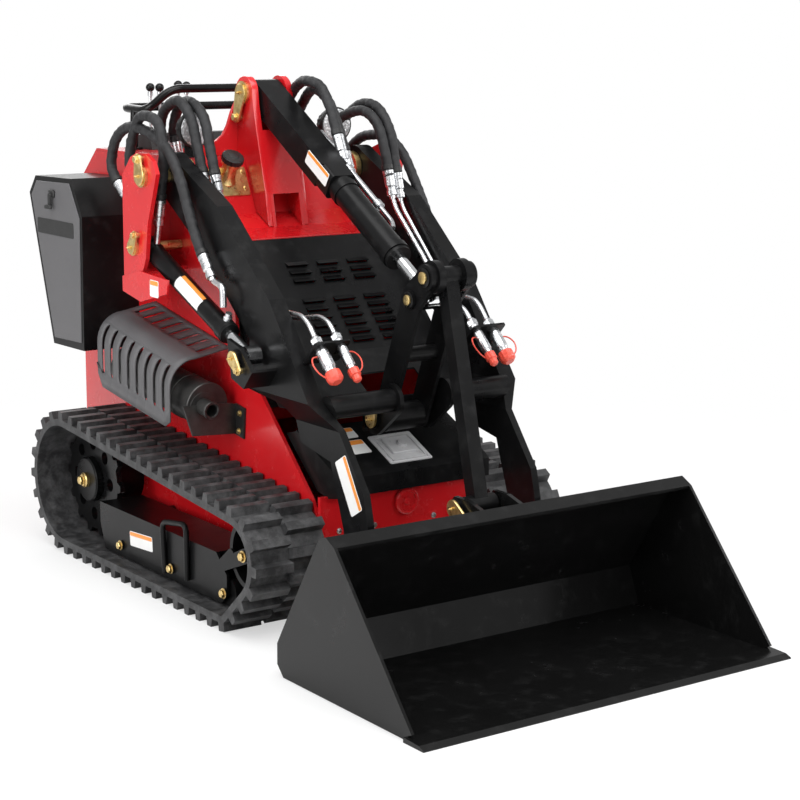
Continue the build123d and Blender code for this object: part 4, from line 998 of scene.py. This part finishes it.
plateSet = {  # finish, sides, then outline, place, across, depth and bevel of each plate
    "box_doors": ("door_grey", both, [
        ([(722, 628), (716, 985), (777, 1080), (992, 1075), (1028, 1032), (896, 622)],
         (440.1, 0, 0), axisY, 2.5, 1.5),
        (roundBox(16, 60, 4), (282.4, 701, 960), axisX, 4, 1)]),
    "box_latches": ("black_plastic", both, [
        (roundBox(34, 22, 6), (442.6, 884, 1044), axisY, 6, 2),
        (roundBox(14, 46, 6), (448.6, 884, 1024), axisY, 7, 2.5),
        (roundBox(40, 12, 5), (455.6, 884, 1006), axisY, 6, 2.5)]),
    "box_plate": ("black_plastic", (1,), [
        (roundBox(236, 44, 6), (-442.7, 870, 946), -axisY, 1.2, 0.4)]),
    "upright_foot": ("red_paint", (1,), [
        ([(-259, 857), (-418, 866), (-520, 842), (-520, 800), (-416, 781), (-268, 818)],
         (-404.3, 0, 0), -axisY, 6, 1)]),
}
for name, (finish, sides, plates) in plateSet.items():
    solids = [prism(outline, place, across, axisZ, *edges) for outline, place, across, *edges in plates]
    solidPiece(name, finish, *solids, sides=sides)


# bright latch plate with its paddle and lock on the slanted cover

latchSet = {
    "place": (4, -231, 439), "up": (0, 0.908, 0.419),
    "plates": [  # (across, up, out) from the place, (width, height, corner), depth, bevel
        ((0, 0, 0), (134, 122, 5), 3, 0.8),
        ((0, 50, 3), (112, 6, 2.5), 3, 1),
        ((0, -50, 3), (112, 6, 2.5), 3, 1),
        ((53, 0, 3), (6, 106, 2.5), 3, 1),
        ((-53, 0, 3), (6, 106, 2.5), 3, 1),
        ((0, 6, 3), (78, 66, 9), 6, 2.5),
    ],
    "lock": [(0, 14), (3, 14), (4, 12.5), (7, 12)], "lockPlace": (6, 4, 9),
}
up = unit(latchSet["up"])
out = np.cross(axisX, up)
axes = np.stack([axisX, up, out])
form = Form()
for shift, shape, depth, bevel in latchSet["plates"]:
    form.add(prism(roundBox(*shape), latchSet["place"] + shift @ axes, axisX, up, depth, bevel))
form.add(turned(latchSet["lock"], latchSet["place"] + latchSet["lockPlace"] @ axes, out, 32))
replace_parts(form.build("latch", "satin_silver"), "paddle_latch")


# front plate's plug, rivets and hood bolts

plugSet = {
    "ring": [(0, 34), (3, 35.5), (9, 35.5), (12, 32), (12, 27), (7, 25), (7, 12), (11, 10), (12, 4)],
    "place": (0, -263.8, 305),
    "rivetsAt": (-205, -150, -95, 95, 150, 205), "rivetRow": (-258.2, 250), "rivetSize": 6,
    "hoodOut": (0, -0.72, 0.69), "hoodX": 222, "hoodSize": 6.5,
    "hoodRows": [(150, 936), (20, 800), (-75, 700)],
}
solidPiece("plug_ring", "red_paint", turned(plugSet["ring"], plugSet["place"], -axisY, 48))
form = Form()
for x in plugSet["rivetsAt"]:
    form.bolt((x, *plugSet["rivetRow"]), -axisY, plugSet["rivetSize"])
for place in plugSet["hoodRows"]:
    form.bolt((plugSet["hoodX"], *place), plugSet["hoodOut"], plugSet["hoodSize"], both)
form.build("small_bolts", "bright_zinc")
print("running gear, boxes and bolts made")


# camera: fitted to the photograph, level turned 35.3 degrees and looking down 10.9

cameraSet = {
    "place": (-2.9023, -4.3409, 1.5404),
    "turn": 35.264,
    "down": 10.948,
    "roll": -0.261,
    "focal": 1962.5,
    "picture": 800,
    "sensor": 36.0,
}


def placed(data, place, *axes):
    thing = newObject(data.name, data)
    thing.matrix_world = Matrix.Translation(place) @ Matrix(np.column_stack(axes).tolist()).to_4x4()
    return thing


def makeCamera(values):
    turn = math.radians(values["turn"])
    down = math.radians(values["down"])
    roll = math.radians(values["roll"])
    ahead = np.array([math.sin(turn) * math.cos(down), math.cos(turn) * math.cos(down), -math.sin(down)])
    level = np.array([math.cos(turn), -math.sin(turn), 0.0])
    under = np.cross(ahead, level)
    right = level * math.cos(roll) + under * math.sin(roll)
    below = under * math.cos(roll) - level * math.sin(roll)
    data = bpy.data.cameras.new("camera")
    data.sensor_width = values["sensor"]
    data.lens = values["focal"] / values["picture"] * values["sensor"]
    data.clip_end = 100
    bpy.context.scene.camera = placed(data, values["place"], right, -below, -ahead)


makeCamera(cameraSet)


# studio: pale floor, soft lamps, pale world

studio = {
    "floorHalf": 30.0,
    "floorColour": (0.80, 0.80, 0.80),
    "shadeFrom": 1.3,
    "whiteFrom": 3.0,
    "worldLight": 0.55,
    "lamps": [  # name, place, aimed at, width, height, watts
        ("overhead", (-0.8, -1.0, 4.6), (0, 0, 0.5), 4.5, 3.5, 190),
        ("leftWall", (-5.2, -0.6, 2.2), (0, -0.1, 0.7), 3.0, 3.2, 150),
        ("frontWall", (0.6, -6.0, 2.6), (0, 0, 0.6), 3.6, 2.6, 120),
        ("rightWall", (4.8, -1.8, 2.4), (0, 0, 0.6), 2.4, 2.6, 80),
        ("backWall", (1.0, 5.0, 3.0), (0, 0, 0.8), 4.0, 2.0, 90),
    ],
}


def makeLamp(name, place, target, width, height, watts):
    data = bpy.data.lights.new(name, "AREA")
    data.shape = "RECTANGLE"
    data.size = width
    data.size_y = height
    data.energy = watts
    back = unit(np.subtract(place, target))
    side = unit(np.cross(axisZ, back))
    placed(data, place, side, np.cross(back, side), back)


def makeStudio(values):
    half = values["floorHalf"]
    mesh = bpy.data.meshes.new("floor")
    corners = [(-half, -half, 0), (half, -half, 0), (half, half, 0), (-half, half, 0)]
    mesh.from_pydata(corners, [], [(0, 1, 2, 3)])
    floor = newObject("floor", mesh)
    material = bpy.data.materials.new("floor_finish")
    bench = Bench(material)
    seen = bench.node("ShaderNodeLightPath")["Is Camera Ray"]
    matte = bench.node("ShaderNodeBsdfDiffuse", {}, {"Color": values["floorColour"]})["BSDF"]
    glow = bench.node("ShaderNodeEmission", {}, {"Color": (1, 1, 1), "Strength": 1.0})["Emission"]
    place = bench.node("ShaderNodeTexCoord")["Object"]
    away = bench.node("ShaderNodeVectorMath", {"operation": "LENGTH"}, {"Vector": place})["Value"]
    share = bench.clamp(away, values["shadeFrom"], values["whiteFrom"], 0.55, 1.0)
    mixed = bench.node("ShaderNodeMixShader", {}, {0: seen * share, 1: matte, 2: glow})["Shader"]
    bench.finish(mixed)
    mesh.materials.append(material)
    world = bpy.data.worlds.new("studio")
    bpy.context.scene.world = world
    bench = Bench(world)
    rays = bench.node("ShaderNodeLightPath")
    shown = bench.clamp(rays["Is Camera Ray"] + rays["Is Transmission Ray"], 0, 1)
    strength = shown * (1.0 - values["worldLight"]) + values["worldLight"]
    pale = bench.node("ShaderNodeBackground", {}, {"Color": (1, 1, 1), "Strength": strength})["Background"]
    bench.finish(pale, "ShaderNodeOutputWorld")
    for lamp in values["lamps"]:
        makeLamp(*lamp)


makeStudio(studio)
bpy.context.scene.view_settings.view_transform = "Standard"
print("studio ready")
